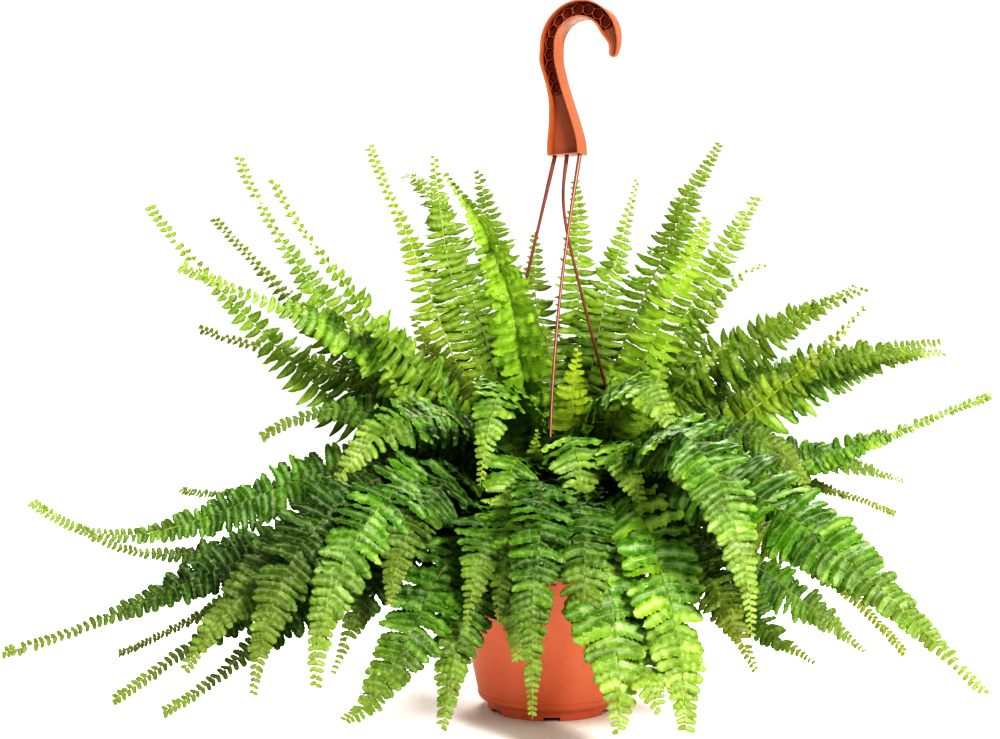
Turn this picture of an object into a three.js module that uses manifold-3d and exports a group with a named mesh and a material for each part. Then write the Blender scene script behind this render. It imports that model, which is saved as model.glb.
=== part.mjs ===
// Boston fern in a hanging plastic pot, standing on its foot.
// Millimetres, +Z up. Inside the plant's own group the pot's axis is X = Y = 0 and the foot
// stands on Z = 0. The finished group is shifted so that the origin is under the middle of
// the whole plant's box.

import * as THREE from 'three';
import { mergeVertices } from 'three/addons/utils/BufferGeometryUtils.js';
import Module from 'manifold-3d';

const wasm = await Module();
wasm.setup();

// ---- driving dimensions, pot and soil ----
const seatGap = 0.35; // between neighbours that touch on the real plant
const sides = 32; // facets round the pot
const rimRadius = 85.5;
const rimHeight = 128;
const lipHeight = 11;
const neckRadius = 82; // wall just under the lip
const baseRadius = 59; // wall just above the foot
const wall = 2.2;
const floorBottom = 9;
const floorTop = 11.5;
const footOuter = 51;
const footInner = 47.5;
const notchCount = 6; // drain notches in the foot ring
const notchWidth = 13;
const notchHeight = 3;
const drainCount = 6; // holes in the floor
const drainRadius = 4;
const drainCircle = 31;
const soilTop = 112;

// ---- driving dimensions, hanger ----
const earAzimuths = [150, 30, 270]; // degrees; right of the picture is 0, its back is 90
const earReach = 89; // pot axis to each eye
const earSize = [11, 12, 9]; // radial, sideways, tall
const earBottom = 118;
const eyeRadius = 2;
const strandRadius = 1.3;
const strandLead = 22; // straight length at each ear
const strandSteps = 15;
const knobRadius = 3;
const knobTop = earBottom - seatGap;
const knobHeight = 4;
const hookTurn = -30; // degrees about Z: the plane of the hook
const hookBase = [14.4, 0, 454]; // middle of its underside
const hookCentre = [13.3, 91]; // centre of the arch above that point: along the hook, up
const archRadius = 27.5; // centreline
const archBand = 14;
const hookDepth = 16;
const hookWall = 2;
const webThickness = 2;
const baseBlock = 3; // solid foot of the hook that takes the strands
const socketDepth = 2;
const socketRadius = 2.6;

// ---- driving dimensions, fronds ----
const stemHalf = 1.1; // half the side of a stem's square section
const stemSunk = 11; // length in the soil
const stemClear = 1; // straight length above the soil
const ribEnd = [0.6, 0.4]; // half width and half thickness at the tip
const leafThickness = 0.7;
const bareShare = 0.22; // share of a frond's length without leaflets
const ribShare = 0.97; // share at which the rib ends in the last leaflet
const twistToLight = 56; // degrees, for a frond that points to one side
const uprightTip = 260; // height of the tip from which a frond counts as standing up
const leafSweep = 20; // degrees, leaflets lean towards the tip
const pairPitch = 43; // spacing of the leaflets along the rib
const fewestPairs = 5;
const mostPairs = 12;
const clearance = 4.3; // between sampled points of parts that must not touch
const sampleStep = 3.4;
const ribStep = 2.4;

const colours = {
  pot: 0xc9603a,
  hookBody: 0xe2743c,
  strand: 0xa85a44,
  soil: 0x3a2a20,
  young: 0xa6b545,
  bright: 0x6ba043,
  deep: 0x3f6f30,
  olive: 0x808a3c,
};

const radians = THREE.MathUtils.degToRad;

function finish(name, geometry, colour, roughness) {
  const material = new THREE.MeshStandardMaterial({ color: colour, roughness, metalness: 0 });
  const mesh = new THREE.Mesh(geometry, material);
  mesh.name = name;
  return mesh;
}

// ---- joining and cutting ----
function solid(geometry) {
  const bare = new THREE.BufferGeometry();
  bare.setAttribute('position', geometry.getAttribute('position'));
  bare.setIndex(geometry.getIndex());
  const merged = mergeVertices(bare, 1e-4);
  return new wasm.Manifold(new wasm.Mesh({
    numProp: 3,
    vertProperties: new Float32Array(merged.getAttribute('position').array),
    triVerts: new Uint32Array(merged.getIndex().array),
  }));
}

function shell(body) {
  const mesh = body.getMesh();
  const geometry = new THREE.BufferGeometry();
  geometry.setAttribute('position', new THREE.BufferAttribute(mesh.vertProperties, 3));
  geometry.setIndex(new THREE.BufferAttribute(mesh.triVerts, 1));
  return geometry;
}

function boxAt(size, place, turn = 0) {
  const box = new THREE.BoxGeometry(...size);
  box.translate(...place);
  box.rotateZ(radians(turn));
  return solid(box);
}

function post(radius, height, corners, place) {
  const rod = new THREE.CylinderGeometry(radius, radius, height, corners);
  rod.rotateX(Math.PI / 2);
  rod.translate(...place);
  return solid(rod);
}

function lathe(profile) {
  const points = profile.map(([r, z]) => new THREE.Vector2(r, z));
  const turned = new THREE.LatheGeometry(points, sides);
  turned.rotateX(Math.PI / 2);
  return solid(turned);
}

// ---- pot ----
function potBody() {
  const neckInside = neckRadius - wall;
  const baseInside = baseRadius - wall;
  let body = lathe([
    [0, floorBottom], [footInner, floorBottom], [footInner, 0], [footOuter, 0],
    [footOuter + 0.5, floorBottom], [baseRadius - 2, floorBottom], [baseRadius, floorTop],
    [neckRadius, rimHeight - lipHeight], [rimRadius - 0.5, rimHeight - lipHeight],
    [rimRadius, rimHeight - 2], [rimRadius - 2, rimHeight], [neckInside + 1.2, rimHeight],
    [neckInside, rimHeight - lipHeight], [baseInside, floorTop], [0, floorTop],
  ]);
  for (const azimuth of earAzimuths) {
    const place = [earReach, 0, earBottom + earSize[2] / 2];
    body = body.add(boxAt(earSize, place, azimuth));
    const [x, y] = polar(earReach, azimuth);
    body = body.subtract(post(eyeRadius, 3 * earSize[2], 6, [x, y, place[2]]));
  }
  for (let i = 0; i < notchCount; i += 1) {
    const turn = 30 + (i * 360) / notchCount;
    const size = [12, notchWidth, 2 * notchHeight];
    body = body.subtract(boxAt(size, [(footInner + footOuter) / 2, 0, 0], turn));
  }
  for (let i = 0; i < drainCount; i += 1) {
    const [x, y] = polar(drainCircle, (i * 360) / drainCount);
    body = body.subtract(post(drainRadius, 20, 6, [x, y, floorTop]));
  }
  return body;
}

function polar(radius, azimuth) {
  return [radius * Math.cos(radians(azimuth)), radius * Math.sin(radians(azimuth))];
}

// ---- soil, with a plain hole for each stem ----
function soilBody(roots) {
  const slope = (neckRadius - baseRadius) / (rimHeight - lipHeight - floorTop);
  const bottom = floorTop + seatGap;
  const edge = (z) => baseRadius - wall - seatGap + slope * (z - floorTop);
  let body = lathe([[0, bottom], [edge(bottom), bottom], [edge(soilTop), soilTop], [0, soilTop]]);
  const across = 2 * (stemHalf + seatGap);
  for (const { radius, azimuth } of roots) {
    const depth = 2 * (stemSunk + seatGap);
    body = body.subtract(boxAt([across, across, depth], [radius, 0, soilTop], azimuth));
  }
  return body;
}

// ---- hook: an arch on a curved stem, with a deep channel in each face ----
// Centreline points of the stem below the arch: along the hook, up, width.
const hookStem = [
  [-27.7, -12.2, 14.7], [-24.5, -24.3, 14], [-21, -36.4, 14], [-18, -48.5, 16.3],
  [-15, -66.7, 22.8], [-13.8, -80, 27.9],
];
const hookFoot = (up) => [-13.3, up, 29];
const tipDegree = -20; // where the arch's free end is rounded off
const archEnd = 184; // degrees, where the arch runs into the stem
const archSteps = 14;
const tipShare = 0.5; // width of that end, as a share of the band
const taperFrom = 20; // degrees, where the band starts to narrow
const thinFrom = 24; // height above the arch's centre from which the depth narrows to the tip
const thinSlope = 0.173; // by how much a side, for each millimetre down

// The band's middle radius and half width at a place on the arch. Only its inner edge narrows.
function bandAt(degree) {
  const share = THREE.MathUtils.lerp(tipShare, 1, THREE.MathUtils.smoothstep(degree, tipDegree, taperFrom));
  return { radius: archRadius + ((1 - share) * archBand) / 2, half: (share * archBand) / 2 };
}

function hookOutline(inset, foot) {
  const outer = [];
  const inner = [];
  for (let i = 0; i <= archSteps; i += 1) {
    const degree = THREE.MathUtils.lerp(tipDegree, archEnd, i / archSteps);
    const { radius, half } = bandAt(degree);
    outer.push(polar(radius + half - inset, degree));
    inner.push(polar(radius - half + inset, degree));
  }
  const floor = foot - hookCentre[1];
  for (const [along, up, width] of [...hookStem.filter((row) => row[1] > floor + 1), hookFoot(floor)]) {
    outer.push([along - width / 2 + inset, up]);
    inner.push([along + width / 2 - inset, up]);
  }
  const end = bandAt(tipDegree);
  const tip = [-120, -60].map((degree) => {
    const [middle, round] = [polar(end.radius, tipDegree), polar(end.half - inset, degree)];
    return [middle[0] + round[0], middle[1] + round[1]];
  });
  const points = [...outer, ...inner.reverse(), ...tip];
  return new THREE.Shape(points.map((point) => new THREE.Vector2(...point)));
}

function hookPlate(inset, foot, from, depth) {
  const plate = new THREE.ExtrudeGeometry(hookOutline(inset, foot), { depth, bevelEnabled: false });
  plate.translate(hookCentre[0], hookCentre[1], from);
  plate.rotateX(Math.PI / 2);
  return solid(plate);
}

// A wedge that thins the arm of the arch from one side, down to its tip.
function thinningWedge(side) {
  const [top, low] = [thinFrom, thinFrom - 50];
  const half = hookDepth / 2;
  const corners = [[side * half, top], [side * (half - 50 * thinSlope), low], [side * 2 * half, low],
    [side * 2 * half, top]];
  const wedge = new THREE.ExtrudeGeometry(
    new THREE.Shape(corners.map((corner) => new THREE.Vector2(...corner))),
    { depth: 50, bevelEnabled: false },
  );
  wedge.rotateX(Math.PI / 2);
  wedge.rotateZ(Math.PI / 2);
  wedge.translate(hookCentre[0] + 5, 0, hookCentre[1]);
  return solid(wedge);
}

const strandSeats = [-11, 0, 12]; // along the hook's base

function hookGeometry() {
  const recess = (hookDepth - webThickness) / 2;
  let body = hookPlate(0, 0, -hookDepth / 2, hookDepth);
  body = body.subtract(hookPlate(hookWall, baseBlock, webThickness / 2, recess + 1));
  body = body.subtract(hookPlate(hookWall, baseBlock, -webThickness / 2 - recess - 1, recess + 1));
  body = body.subtract(thinningWedge(1)).subtract(thinningWedge(-1));
  for (const seat of strandSeats) {
    body = body.subtract(post(socketRadius, 2 * socketDepth, 6, [seat, 0, 0]));
  }
  const geometry = shell(body);
  geometry.rotateZ(radians(hookTurn));
  geometry.translate(...hookBase);
  return geometry;
}

// ---- strands: slack, each from its seat in the hook to its eye in the rim ----
const strandRoutes = [
  [[-16, 15, 366], [-44, 28, 250]],
  [[11.2, 2, 424], [13.5, 6, 398], [26, 14, 345], [57, 33, 230]],
  [[14.5, -24, 392], [4, -46, 309], [-2, -70, 216]],
];

function strandCurve(index) {
  const [ex, ey] = polar(earReach, earAzimuths[index]);
  const along = strandSeats[index];
  const seat = new THREE.Vector3(along, 0, socketDepth - seatGap);
  seat.applyAxisAngle(new THREE.Vector3(0, 0, 1), radians(hookTurn)).add(new THREE.Vector3(...hookBase));
  const points = [seat];
  for (const point of strandRoutes[index]) points.push(new THREE.Vector3(...point));
  points.push(new THREE.Vector3(ex, ey, knobTop + 1.5 * strandLead));
  points.push(new THREE.Vector3(ex, ey, knobTop + strandLead));
  points.push(new THREE.Vector3(ex, ey, knobTop - knobHeight / 2));
  return new THREE.CatmullRomCurve3(points, false, 'centripetal');
}

function strandGeometry(index) {
  const section = new THREE.Shape();
  for (let i = 0; i < 5; i += 1) {
    const [x, y] = polar(strandRadius, i * 72);
    if (i === 0) section.moveTo(x, y);
    else section.lineTo(x, y);
  }
  const path = strandCurve(index);
  const tube = new THREE.ExtrudeGeometry(section, { steps: strandSteps, extrudePath: path });
  const [ex, ey] = polar(earReach, earAzimuths[index]);
  const knob = post(knobRadius, knobHeight, 6, [ex, ey, knobTop - knobHeight / 2]);
  return shell(solid(tube).add(knob));
}

// ---- fronds ----
// A frond's rib is a Bezier curve in the upright plane of its azimuth. root is the distance of
// its stem from the pot's axis; lift, fall and tip are [distance, height] of the two handles
// and of the tip. A row without a root springs from the root above it in the list, and fronds
// with one root are one piece.
const fronds = [
  // back right
  { az: 52, root: 30, lift: [20, 230], fall: [90, 360], tip: [136, 447], wide: 42, tint: 'bright' },
  { az: 47, lift: [120, 250], fall: [240, 200], tip: [290, 90], wide: 50, tint: 'deep' },
  { az: 38, root: 24, lift: [35, 250], fall: [140, 400], tip: [204, 486], wide: 44, tint: 'deep' },
  { az: 35, lift: [110, 260], fall: [240, 240], tip: [320, 150], wide: 48, tint: 'deep' },
  // right
  { az: 25, root: 22, lift: [60, 230], fall: [150, 350], tip: [208, 433], wide: 42, tint: 'bright' },
  { az: 21, root: 36, lift: [90, 250], fall: [210, 310], tip: [300, 352], wide: 42, tint: 'deep' },
  { az: 17, lift: [110, 240], fall: [250, 210], tip: [335, 176], wide: 40, tint: 'deep' },
  { az: 12, root: 26, lift: [110, 200], fall: [260, 310], tip: [358, 290], wide: 44, tint: 'bright' },
  { az: 7, root: 38, lift: [90, 270], fall: [230, 285], tip: [340, 302], wide: 40, tint: 'deep' },
  { az: 2, lift: [110, 220], fall: [220, 190], tip: [290, 157], wide: 30, tint: 'olive' },
  { az: 357, root: 30, lift: [45, 250], fall: [150, 300], tip: [260, 345], wide: 56, tint: 'deep' },
  { az: 353, lift: [110, 190], fall: [190, 100], tip: [256, 50], wide: 40, tint: 'deep' },
  { az: 14, lift: [40, 260], fall: [150, 200], tip: [200, 260], wide: 46, tint: 'bright' },
  { az: 349, root: 36, lift: [100, 170], fall: [240, 215], tip: [350, 260], wide: 34, tint: 'bright' },
  { az: 344, root: 18, lift: [50, 190], fall: [120, 345], tip: [178, 362], wide: 44, tint: 'bright' },
  { az: 333, lift: [80, 230], fall: [180, 270], tip: [215, 185], wide: 44, tint: 'deep' },
  { az: 339, root: 30, lift: [70, 180], fall: [190, 250], tip: [255, 328], wide: 44, tint: 'young' },
  { az: 354, lift: [90, 220], fall: [170, 190], tip: [270, 120], wide: 46, tint: 'deep' },
  // front right
  { az: 332, root: 14, lift: [30, 210], fall: [110, 320], tip: [138, 399], wide: 40, tint: 'bright' },
  { az: 307, lift: [20, 260], fall: [100, 310], tip: [150, 225], wide: 42, tint: 'bright' },
  { az: 327, root: 48, lift: [110, 200], fall: [230, 160], tip: [298, 76], wide: 34, tint: 'olive' },
  { az: 322, lift: [120, 190], fall: [190, 80], tip: [240, 64], wide: 38, tint: 'deep' },
  { az: 323, lift: [50, 190], fall: [90, 210], tip: [110, 300], wide: 40, tint: 'bright' },
  { az: 317, root: 62, lift: [66, 160], fall: [80, 190], tip: [90, 226], wide: 24, tint: 'young' },
  { az: 311, root: 34, lift: [90, 250], fall: [240, 210], tip: [398, 79], wide: 75, tint: 'bright' },
  { az: 308, lift: [50, 230], fall: [130, 260], tip: [175, 180], wide: 44, tint: 'bright' },
  { az: 304, lift: [110, 210], fall: [210, 120], tip: [246, 72], wide: 40, tint: 'olive' },
  { az: 339, lift: [60, 250], fall: [90, 240], tip: [150, 300], wide: 44, tint: 'bright' },
  { az: 299, root: 34, lift: [120, 290], fall: [255, 260], tip: [262, 100], wide: 46, tint: 'bright' },
  { az: 296, lift: [40, 230], fall: [110, 260], tip: [150, 170], wide: 44, tint: 'bright' },
  // front
  { az: 292, lift: [90, 240], fall: [215, 180], tip: [230, 34], wide: 50, tint: 'bright' },
  { az: 287, root: 54, lift: [70, 200], fall: [150, 120], tip: [232, 52], wide: 44, tint: 'bright' },
  { az: 281, root: 36, lift: [110, 230], fall: [190, 150], tip: [215, 32], wide: 60, tint: 'bright' },
  { az: 276, lift: [100, 230], fall: [180, 190], tip: [186, 88], wide: 42, tint: 'deep' },
  { az: 262, lift: [40, 270], fall: [70, 160], tip: [95, 235], wide: 40, tint: 'bright' },
  { az: 279, root: 16, lift: [30, 230], fall: [95, 270], tip: [125, 165], wide: 44, tint: 'bright' },
  { az: 295, lift: [20, 250], fall: [50, 220], tip: [50, 295], wide: 40, tint: 'young' },
  { az: 265, root: 30, lift: [100, 260], fall: [205, 200], tip: [203, 40], wide: 42, tint: 'deep' },
  { az: 260, root: 46, lift: [100, 200], fall: [160, 170], tip: [167, 70], wide: 44, tint: 'bright' },
  { az: 256, lift: [90, 220], fall: [160, 190], tip: [176, 96], wide: 44, tint: 'bright' },
  { az: 253, root: 30, lift: [40, 220], fall: [110, 250], tip: [140, 150], wide: 44, tint: 'bright' },
  { az: 250, lift: [90, 210], fall: [175, 180], tip: [190, 97], wide: 42, tint: 'deep' },
  { az: 247, lift: [100, 250], fall: [170, 110], tip: [214, 33], wide: 44, tint: 'deep' },
  { az: 224, lift: [30, 220], fall: [70, 260], tip: [85, 295], wide: 44, tint: 'deep' },
  { az: 243, root: 14, lift: [20, 290], fall: [110, 310], tip: [124, 186], wide: 48, tint: 'bright' },
  // front left
  { az: 240, root: 50, lift: [90, 290], fall: [200, 50], tip: [285, 50], wide: 50, tint: 'deep' },
  { az: 202, lift: [80, 260], fall: [180, 210], tip: [190, 170], wide: 46, tint: 'deep' },
  { az: 236, root: 30, lift: [90, 240], fall: [190, 210], tip: [212, 110], wide: 42, tint: 'deep' },
  { az: 232, root: 12, lift: [14, 260], fall: [50, 370], tip: [136, 429], wide: 54, tint: 'bright' },
  { az: 229, root: 22, lift: [55, 240], fall: [250, 230], tip: [255, 57], wide: 52, tint: 'bright' },
  { az: 234, lift: [50, 190], fall: [110, 250], tip: [155, 250], wide: 42, tint: 'deep' },
  { az: 225, root: 50, lift: [90, 200], fall: [190, 150], tip: [228, 60], wide: 42, tint: 'deep' },
  { az: 222, lift: [110, 270], fall: [275, 200], tip: [284, 52], wide: 46, tint: 'deep' },
  { az: 218, root: 14, lift: [30, 270], fall: [150, 270], tip: [212, 190], wide: 50, tint: 'bright' },
  { az: 214, root: 44, lift: [110, 240], fall: [260, 160], tip: [318, 67], wide: 50, tint: 'deep' },
  // left
  { az: 210, root: 22, lift: [40, 200], fall: [100, 230], tip: [158, 251], wide: 52, tint: 'bright' },
  { az: 206, root: 56, lift: [120, 200], fall: [250, 60], tip: [320, 30], wide: 42, tint: 'deep' },
  { az: 202, lift: [120, 230], fall: [280, 70], tip: [353, 34], wide: 44, tint: 'deep' },
  { az: 204, lift: [50, 220], fall: [120, 220], tip: [140, 280], wide: 46, tint: 'bright' },
  { az: 199, root: 18, lift: [50, 250], fall: [185, 330], tip: [230, 426], wide: 44, tint: 'bright' },
  { az: 196, root: 46, lift: [120, 220], fall: [290, 100], tip: [430, 69], wide: 44, tint: 'deep' },
  { az: 189, lift: [80, 260], fall: [190, 260], tip: [235, 225], wide: 48, tint: 'deep' },
  { az: 192, root: 24, lift: [50, 290], fall: [180, 310], tip: [299, 358], wide: 52, tint: 'bright' },
  { az: 187, root: 52, lift: [130, 210], fall: [280, 80], tip: [380, 153], wide: 40, tint: 'deep' },
  { az: 184, lift: [90, 230], fall: [200, 150], tip: [235, 110], wide: 46, tint: 'deep' },
  { az: 182, root: 38, lift: [120, 330], fall: [300, 60], tip: [425, 172], wide: 44, tint: 'bright' },
  { az: 177, root: 20, lift: [90, 190], fall: [270, 310], tip: [337, 418], wide: 46, tint: 'bright' },
  { az: 172, root: 48, lift: [130, 210], fall: [280, 60], tip: [375, 32], wide: 38, tint: 'olive' },
  { az: 168, lift: [80, 280], fall: [230, 285], tip: [311, 313], wide: 42, tint: 'olive' },
  { az: 164, root: 14, lift: [80, 220], fall: [225, 325], tip: [282, 467], wide: 44, tint: 'bright' },
  { az: 174, lift: [80, 230], fall: [140, 310], tip: [185, 330], wide: 42, tint: 'bright' },
  { az: 160, root: 50, lift: [130, 240], fall: [260, 150], tip: [355, 169], wide: 38, tint: 'deep' },
  // back left
  { az: 156, root: 28, lift: [90, 210], fall: [250, 330], tip: [335, 418], wide: 44, tint: 'olive' },
  { az: 145, root: 16, lift: [60, 230], fall: [155, 390], tip: [196, 482], wide: 44, tint: 'young' },
  { az: 120, lift: [10, 240], fall: [60, 270], tip: [70, 335], wide: 42, tint: 'deep' },
  { az: 141, root: 48, lift: [120, 240], fall: [250, 200], tip: [320, 110], wide: 48, tint: 'deep' },
  { az: 157, lift: [40, 220], fall: [100, 260], tip: [125, 325], wide: 44, tint: 'olive' },
  { az: 136, root: 22, lift: [60, 220], fall: [125, 360], tip: [141, 470], wide: 42, tint: 'bright' },
  { az: 130, lift: [50, 270], fall: [165, 490], tip: [208, 452], wide: 40, tint: 'bright' },
  // back
  { az: 124, root: 50, lift: [110, 230], fall: [220, 160], tip: [280, 60], wide: 46, tint: 'deep' },
  { az: 119, root: 34, lift: [100, 280], fall: [230, 260], tip: [310, 170], wide: 48, tint: 'deep' },
  { az: 112, root: 18, lift: [40, 240], fall: [125, 370], tip: [157, 462], wide: 42, tint: 'bright' },
  { az: 106, root: 46, lift: [120, 250], fall: [240, 220], tip: [300, 90], wide: 48, tint: 'deep' },
  { az: 102, lift: [80, 290], fall: [190, 370], tip: [260, 310], wide: 46, tint: 'bright' },
  { az: 106, lift: [40, 210], fall: [100, 210], tip: [105, 300], wide: 46, tint: 'deep' },
  { az: 96, root: 16, lift: [40, 220], fall: [95, 330], tip: [112, 402], wide: 36, tint: 'deep' },
  { az: 90, root: 50, lift: [110, 230], fall: [200, 160], tip: [250, 60], wide: 44, tint: 'deep' },
  { az: 85, root: 32, lift: [100, 300], fall: [230, 290], tip: [300, 200], wide: 46, tint: 'bright' },
  { az: 78, lift: [40, 200], fall: [80, 290], tip: [100, 300], wide: 44, tint: 'deep' },
  { az: 78, root: 46, lift: [120, 260], fall: [250, 230], tip: [310, 110], wide: 48, tint: 'deep' },
  { az: 73, lift: [70, 290], fall: [180, 380], tip: [250, 330], wide: 46, tint: 'bright' },
  { az: 60, lift: [50, 220], fall: [90, 270], tip: [110, 345], wide: 44, tint: 'bright' },
  { az: 67, root: 18, lift: [50, 230], fall: [100, 400], tip: [60, 440], wide: 38, tint: 'bright' },
  { az: 92, lift: [20, 270], fall: [40, 320], tip: [55, 320], wide: 42, tint: 'deep' },
  { az: 62, root: 50, lift: [110, 230], fall: [200, 150], tip: [240, 50], wide: 46, tint: 'deep' },
  { az: 58, lift: [100, 300], fall: [240, 300], tip: [310, 190], wide: 48, tint: 'deep' },
  { az: 35, lift: [30, 250], fall: [110, 240], tip: [165, 320], wide: 44, tint: 'bright' },
];

function spot([distance, height], azimuth) {
  return new THREE.Vector3(...polar(distance, azimuth), height);
}

function rootOf(index) {
  const host = fronds.slice(0, index + 1).findLast((frond) => frond.root !== undefined);
  return { radius: host.root, azimuth: host.az };
}

function ribCurve(index) {
  const frond = fronds[index];
  const { radius, azimuth } = rootOf(index);
  const start = spot([radius, soilTop + stemClear], azimuth);
  const rest = [frond.lift, frond.fall, frond.tip].map((point) => spot(point, frond.az));
  return new THREE.CubicBezierCurve3(start, ...rest);
}

// A square section across the rib: its middle, its side and upper directions, its half sizes.
function section(middle, tangent, azimuth, twist, halfWidth, halfThickness) {
  const side = new THREE.Vector3(Math.sin(radians(azimuth)), -Math.cos(radians(azimuth)), 0);
  side.addScaledVector(tangent, -side.dot(tangent)).normalize().applyAxisAngle(tangent, radians(twist));
  const up = side.clone().cross(tangent);
  return { middle, tangent, side, up, halfWidth, halfThickness };
}

// The blade turns its upper face towards the light, which comes from the front. A frond that
// stands up in front turns the other way.
function twistOf({ az, tip }) {
  const way = Math.sin(radians(az)) < -0.45 && tip[1] > uprightTip ? -1 : 1;
  return way * twistToLight * Math.cos(radians(az));
}

// The sections along a frond, one list for each edge. The left edge's are half a pitch ahead,
// because the leaflets stand alternately.
function frondSections(index) {
  const frond = fronds[index];
  const curve = ribCurve(index);
  const blade = curve.getLength() * (1 - bareShare);
  const pairs = THREE.MathUtils.clamp(Math.round(blade / pairPitch), fewestPairs, mostPairs);
  const upright = new THREE.Vector3(0, 0, 1);
  const { azimuth } = rootOf(index);
  const first = curve.getPointAt(0);
  const sunk = first.clone().setZ(soilTop - stemSunk);
  const bent = curve.getTangentAt(0).add(upright).normalize();
  const foot = [
    section(sunk, upright, azimuth, 0, stemHalf, stemHalf),
    section(first, bent, azimuth, 0, stemHalf, stemHalf),
  ];
  const pitch = (ribShare - bareShare) / pairs;
  const cutAt = (share) => {
    const twist = twistOf(frond) * THREE.MathUtils.smoothstep(share, 0, 0.45);
    const halfWidth = THREE.MathUtils.lerp(stemHalf, ribEnd[0], share);
    const halfThickness = THREE.MathUtils.lerp(stemHalf, ribEnd[1], Math.min(1, 1.6 * share));
    const tangent = curve.getTangentAt(share);
    return section(curve.getPointAt(share), tangent, frond.az, twist, halfWidth, halfThickness);
  };
  const edgeCuts = (lead) => {
    const cuts = [...foot, cutAt(bareShare / 2)];
    for (let i = 0; i <= pairs; i += 1) {
      cuts.push(cutAt(Math.min(bareShare + pitch * (i + lead), ribShare)));
    }
    return cuts;
  };
  return { right: edgeCuts(0), left: edgeCuts(0.5), pairs, end: curve.getPointAt(1) };
}

// Length of a leaflet at a share of the blade: short at the foot, long, then tapering.
function leafLength(frond, share) {
  const full = frond.wide / 2 / Math.cos(radians(leafSweep));
  return full * Math.min(1, 0.6 + 2 * share) * (1 - 0.85 * share ** 2.6);
}

// A leaflet between two sections: its base on the rib's edge, and its tip.
function leaflet(before, after, hand, length, fold) {
  const edge = (cut) => cut.middle.clone().addScaledVector(cut.side, hand * cut.halfWidth);
  const [a, b] = [edge(before), edge(after)];
  const out = after.side.clone().multiplyScalar(hand * Math.cos(fold));
  out.addScaledVector(after.up, Math.sin(fold));
  const up = after.up.clone().multiplyScalar(Math.cos(fold));
  up.addScaledVector(after.side, -hand * Math.sin(fold));
  const tip = a.clone().lerp(b, 0.5);
  tip.addScaledVector(out, length * Math.cos(radians(leafSweep)));
  tip.addScaledVector(after.tangent, length * Math.sin(radians(leafSweep)));
  return { a, b, tip, up };
}

// ---- keeping leaflets clear of all else ----
// Points already taken, in a grid of cells, each with the frond that owns it.
const taken = new Map();
const cellOf = (value) => Math.floor(value / clearance);
const keyOf = (x, y, z) => `${x},${y},${z}`;

function take(point, owner) {
  const key = keyOf(cellOf(point.x), cellOf(point.y), cellOf(point.z));
  if (!taken.has(key)) taken.set(key, []);
  taken.get(key).push({ point, owner });
}

function isTaken(point, owner) {
  const [cx, cy, cz] = [cellOf(point.x), cellOf(point.y), cellOf(point.z)];
  for (let x = cx - 1; x <= cx + 1; x += 1) {
    for (let y = cy - 1; y <= cy + 1; y += 1) {
      for (let z = cz - 1; z <= cz + 1; z += 1) {
        for (const other of taken.get(keyOf(x, y, z)) ?? []) {
          if (other.owner !== owner && other.point.distanceTo(point) < clearance) return true;
        }
      }
    }
  }
  return false;
}

function inPotOrHook({ x, y, z }) {
  const reach = Math.hypot(x, y);
  if (reach < earReach + earSize[0] && z < rimHeight + clearance) return true;
  return z > hookBase[2] - 2 * clearance && Math.hypot(x - hookBase[0], y) < 55;
}

function samples({ a, b, tip }) {
  const points = [];
  const rows = Math.ceil(Math.max(a.distanceTo(tip), a.distanceTo(b)) / sampleStep);
  for (let i = 1; i <= rows; i += 1) {
    const left = a.clone().lerp(tip, i / rows);
    const right = b.clone().lerp(tip, i / rows);
    const steps = Math.max(1, Math.ceil(left.distanceTo(right) / sampleStep));
    for (let j = 0; j <= steps; j += 1) points.push(left.clone().lerp(right, j / steps));
  }
  return points;
}

// The longest leaflet that is clear, in the pose nearest to the wanted one, or none.
const folds = [-10, 8, -28, 26, -46, 44, -64, 62].map(radians);
const shortenings = [1, 0.8, 0.6, 0.4, 0.25];

function clearLeaflet(before, after, hand, length, owner) {
  for (const shortening of shortenings) {
    for (const fold of folds) {
      const leaf = leaflet(before, after, hand, length * shortening, fold);
      const points = samples(leaf);
      if (!points.some((point) => inPotOrHook(point) || isTaken(point, owner))) {
        for (const point of points) take(point, owner);
        return leaf;
      }
    }
  }
  return null;
}

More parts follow.
